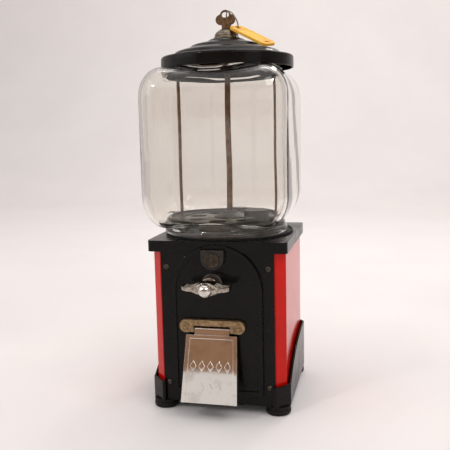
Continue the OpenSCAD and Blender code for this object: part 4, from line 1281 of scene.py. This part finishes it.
@dataclass
class Lamp:
    """One soft box.

    Attributes:
        name: Its name.
        place: Where it stands, in metres.
        size: Side of its square, in metres.
        power: Its power in watts.
        aim: The point that it faces, in metres.
    """

    name: str
    place: tuple[float, float, float]
    size: float
    power: float
    aim: tuple[float, float, float] = (0.0, 0.0, 0.2)

    def light(self) -> None:
        """Hang the lamp and point it."""
        data = bpy.data.lights.new(self.name, "AREA")
        data.size = self.size
        data.energy = self.power
        lamp = new_object(self.name, data)
        lamp.location = self.place
        lamp.rotation_mode = "QUATERNION"
        lamp.rotation_quaternion = (Vector(self.aim) - Vector(self.place)).to_track_quat("-Z", "Y")


@dataclass
class Card:
    """An upright board out of view, which only gloss and glass see.

    Attributes:
        name: Its name.
        start: X and Y of one side, in metres.
        end: X and Y of the other side, in metres.
        low: Height of its lower edge, in metres.
        high: Height of its upper edge, in metres.
        tone: Its colour.
    """

    name: str
    start: tuple[float, float]
    end: tuple[float, float]
    low: float
    high: float
    tone: Tone

    def stand(self) -> None:
        """Stand the card in the studio."""
        corners = [(*self.start, self.low), (*self.end, self.low)]
        corners += [(*self.end, self.high), (*self.start, self.high)]
        mesh = bpy.data.meshes.new(self.name)
        mesh.from_pydata(corners, [], [(0, 1, 2, 3)])
        board = Finish(
            self.name, self.tone, self.tone, 0.0, 0.8, 0.9, 0.1,
            patch=400, cover=0.5, grain=3.0, depth=0.0, edge=0.0,
        )
        mesh.materials.append(board.build())
        card = new_object(self.name, mesh)
        card.visible_camera = card.visible_diffuse = card.visible_shadow = False


@dataclass
class Studio:
    """A pale sweep, an even sky, soft boxes and the camera.

    Attributes:
        camera_at: The camera's place in metres.
        yaw: Turn of the camera to the left of +Y, in degrees.
        pitch: How far the camera looks down, in degrees.
        roll: Turn about its own axis, in degrees.
        focal: Focal length over the sensor's width.
        fill: Strength of the sky on matt surfaces.
        backdrop: Strength of the sky in gloss, in glass and to the eye.
        half_width: Half the width of the floor sweep, in metres.
        floor_front: Y of its front edge, in metres.
        curve: Radius of its curve up into the backdrop, in metres.
        backdrop_y: Y of the backdrop, in metres.
        backdrop_top: Height of the backdrop, in metres.
        lamps: The soft boxes.
        cards: The boards out of view.
    """

    camera_at: tuple[float, float, float] = (0.15234, -0.68207, 0.27985)
    yaw: float = 13.08
    pitch: float = 8.10
    roll: float = -1.26
    focal: float = 660 / 450
    fill: float = 0.53
    backdrop: float = 0.85
    half_width: float = 6.0
    floor_front: float = -5.0
    curve: float = 1.2
    backdrop_y: float = 2.8
    backdrop_top: float = 4.0
    lamps: list[Lamp] = field(
        default_factory=lambda: [
            Lamp("key_softbox", (1.0, -1.1, 1.5), 0.9, 6.0),
            Lamp("fill_softbox", (-1.5, -0.7, 1.1), 1.2, 4.2),
            Lamp("top_softbox", (0.1, 0.3, 1.7), 1.0, 3.4),
            Lamp("left_spark", (-0.7, -0.9, 1.05), 0.14, 2.2),
            Lamp("right_spark", (0.75, -0.35, 0.95), 0.14, 1.3),
            Lamp("rear_spark", (0.35, 0.9, 1.1), 0.2, 2.0),
            Lamp("backdrop_softbox", (0.0, 0.9, 2.1), 1.4, 18.0, (0.0, 2.8, 0.8)),
        ]
    )
    cards: list[Card] = field(
        default_factory=lambda: [
            Card("brown_card", (-1.4, -1.7), (1.6, -1.7), 0.33, 1.3, Tone.DARK_CARD),
            Card("right_flag", (1.1, -0.4), (1.1, 0.9), 0.0, 1.6, Tone.GREY_FLAG),
        ]
    )

    def camera(self) -> None:
        """Set up the camera at the viewing angle."""
        data = bpy.data.cameras.new("camera")
        data.sensor_width = 36.0
        data.lens = self.focal * data.sensor_width
        yaw, pitch, roll = (math.radians(a) for a in (self.yaw, self.pitch, self.roll))
        ahead = Vector(
            (-math.sin(yaw) * math.cos(pitch), math.cos(yaw) * math.cos(pitch), -math.sin(pitch))
        )
        right = Vector((math.cos(yaw), math.sin(yaw), 0))
        up = right.cross(ahead)
        across = math.cos(roll) * right + math.sin(roll) * up
        above = math.cos(roll) * up - math.sin(roll) * right
        turn = Matrix((across, above, -ahead)).transposed().to_4x4()
        camera = new_object("camera", data)
        camera.matrix_world = Matrix.Translation(self.camera_at) @ turn
        bpy.context.scene.camera = camera

    def sky(self) -> None:
        """Light matt surfaces evenly, and show a pale background to eye, gloss and glass."""
        world = bpy.data.worlds.new("sky")
        bpy.context.scene.world = world
        world.use_nodes = True
        tree = world.node_tree
        tree.nodes.clear()
        path = add_node(tree, "ShaderNodeLightPath").outputs
        seen = path["Is Camera Ray"]
        for ray in ("Is Glossy Ray", "Is Transmission Ray"):
            seen = wired(tree, "ShaderNodeMath", {0: seen, 1: path[ray]}, 0, operation="MAXIMUM")
        even = {"Color": (1, 1, 1, 1), "Strength": self.fill}
        pale = {"Color": linear(Tone.WORLD), "Strength": self.backdrop}
        skies = [wired(tree, "ShaderNodeBackground", look, 0) for look in (even, pale)]
        mix = wired(tree, "ShaderNodeMixShader", {0: seen, 1: skies[0], 2: skies[1]}, 0)
        add_node(tree, "ShaderNodeOutputWorld", {"Surface": mix})

    def sweep(self) -> None:
        """Lay the floor, which curves up into a backdrop far behind the machine."""
        bend = arc((self.backdrop_y - self.curve, self.curve), self.curve, -90, 0, 24)
        path = [(self.floor_front, 0.0)] + bend + [(self.backdrop_y, self.backdrop_top)]
        bm = bmesh.new()
        ends = (-self.half_width, self.half_width)
        sides = [[bm.verts.new((x, y, z)) for y, z in path] for x in ends]
        for i in range(len(path) - 1):
            bm.faces.new((sides[0][i], sides[1][i], sides[1][i + 1], sides[0][i + 1]))
        mesh = bpy.data.meshes.new("floor_sweep")
        bm.to_mesh(mesh)
        bm.free()
        mesh.shade_smooth()
        paper = Finish(
            "paper_sweep", Tone.FLOOR, Tone.WORLD, 0.0, 0.55, 0.6, 0.2,
            patch=300, cover=0.5, grain=2.0, depth=0.0, edge=0.0,
        )
        mesh.materials.append(paper.build())
        new_object("floor_sweep", mesh)

    def build(self) -> None:
        """Set up the whole studio."""
        self.camera()
        self.sky()
        self.sweep()
        for card in self.cards:
            card.stand()
        for lamp in self.lamps:
            lamp.light()
        bpy.context.scene.view_settings.view_transform = "Standard"


# ---- the whole machine


def main() -> None:
    """Build the studio, dress every node and make the detailed pieces."""
    logging.basicConfig(level=logging.INFO, format="%(message)s")
    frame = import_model()
    Studio().build()
    record = frame["record"]
    shop = Workshop({p["node"]: p["material_slot"] for p in record["subparts"]})
    for node in frame["nodes"].values():
        shop.dress(node)
    Globe().build(shop)
    Lid().build(shop)
    LockBody().build(shop)
    SplitRing().build(shop, frame["joints"])
    WingedHandle().build(shop)
    Brush().build(shop)


if __name__ == "__main__":
    main()
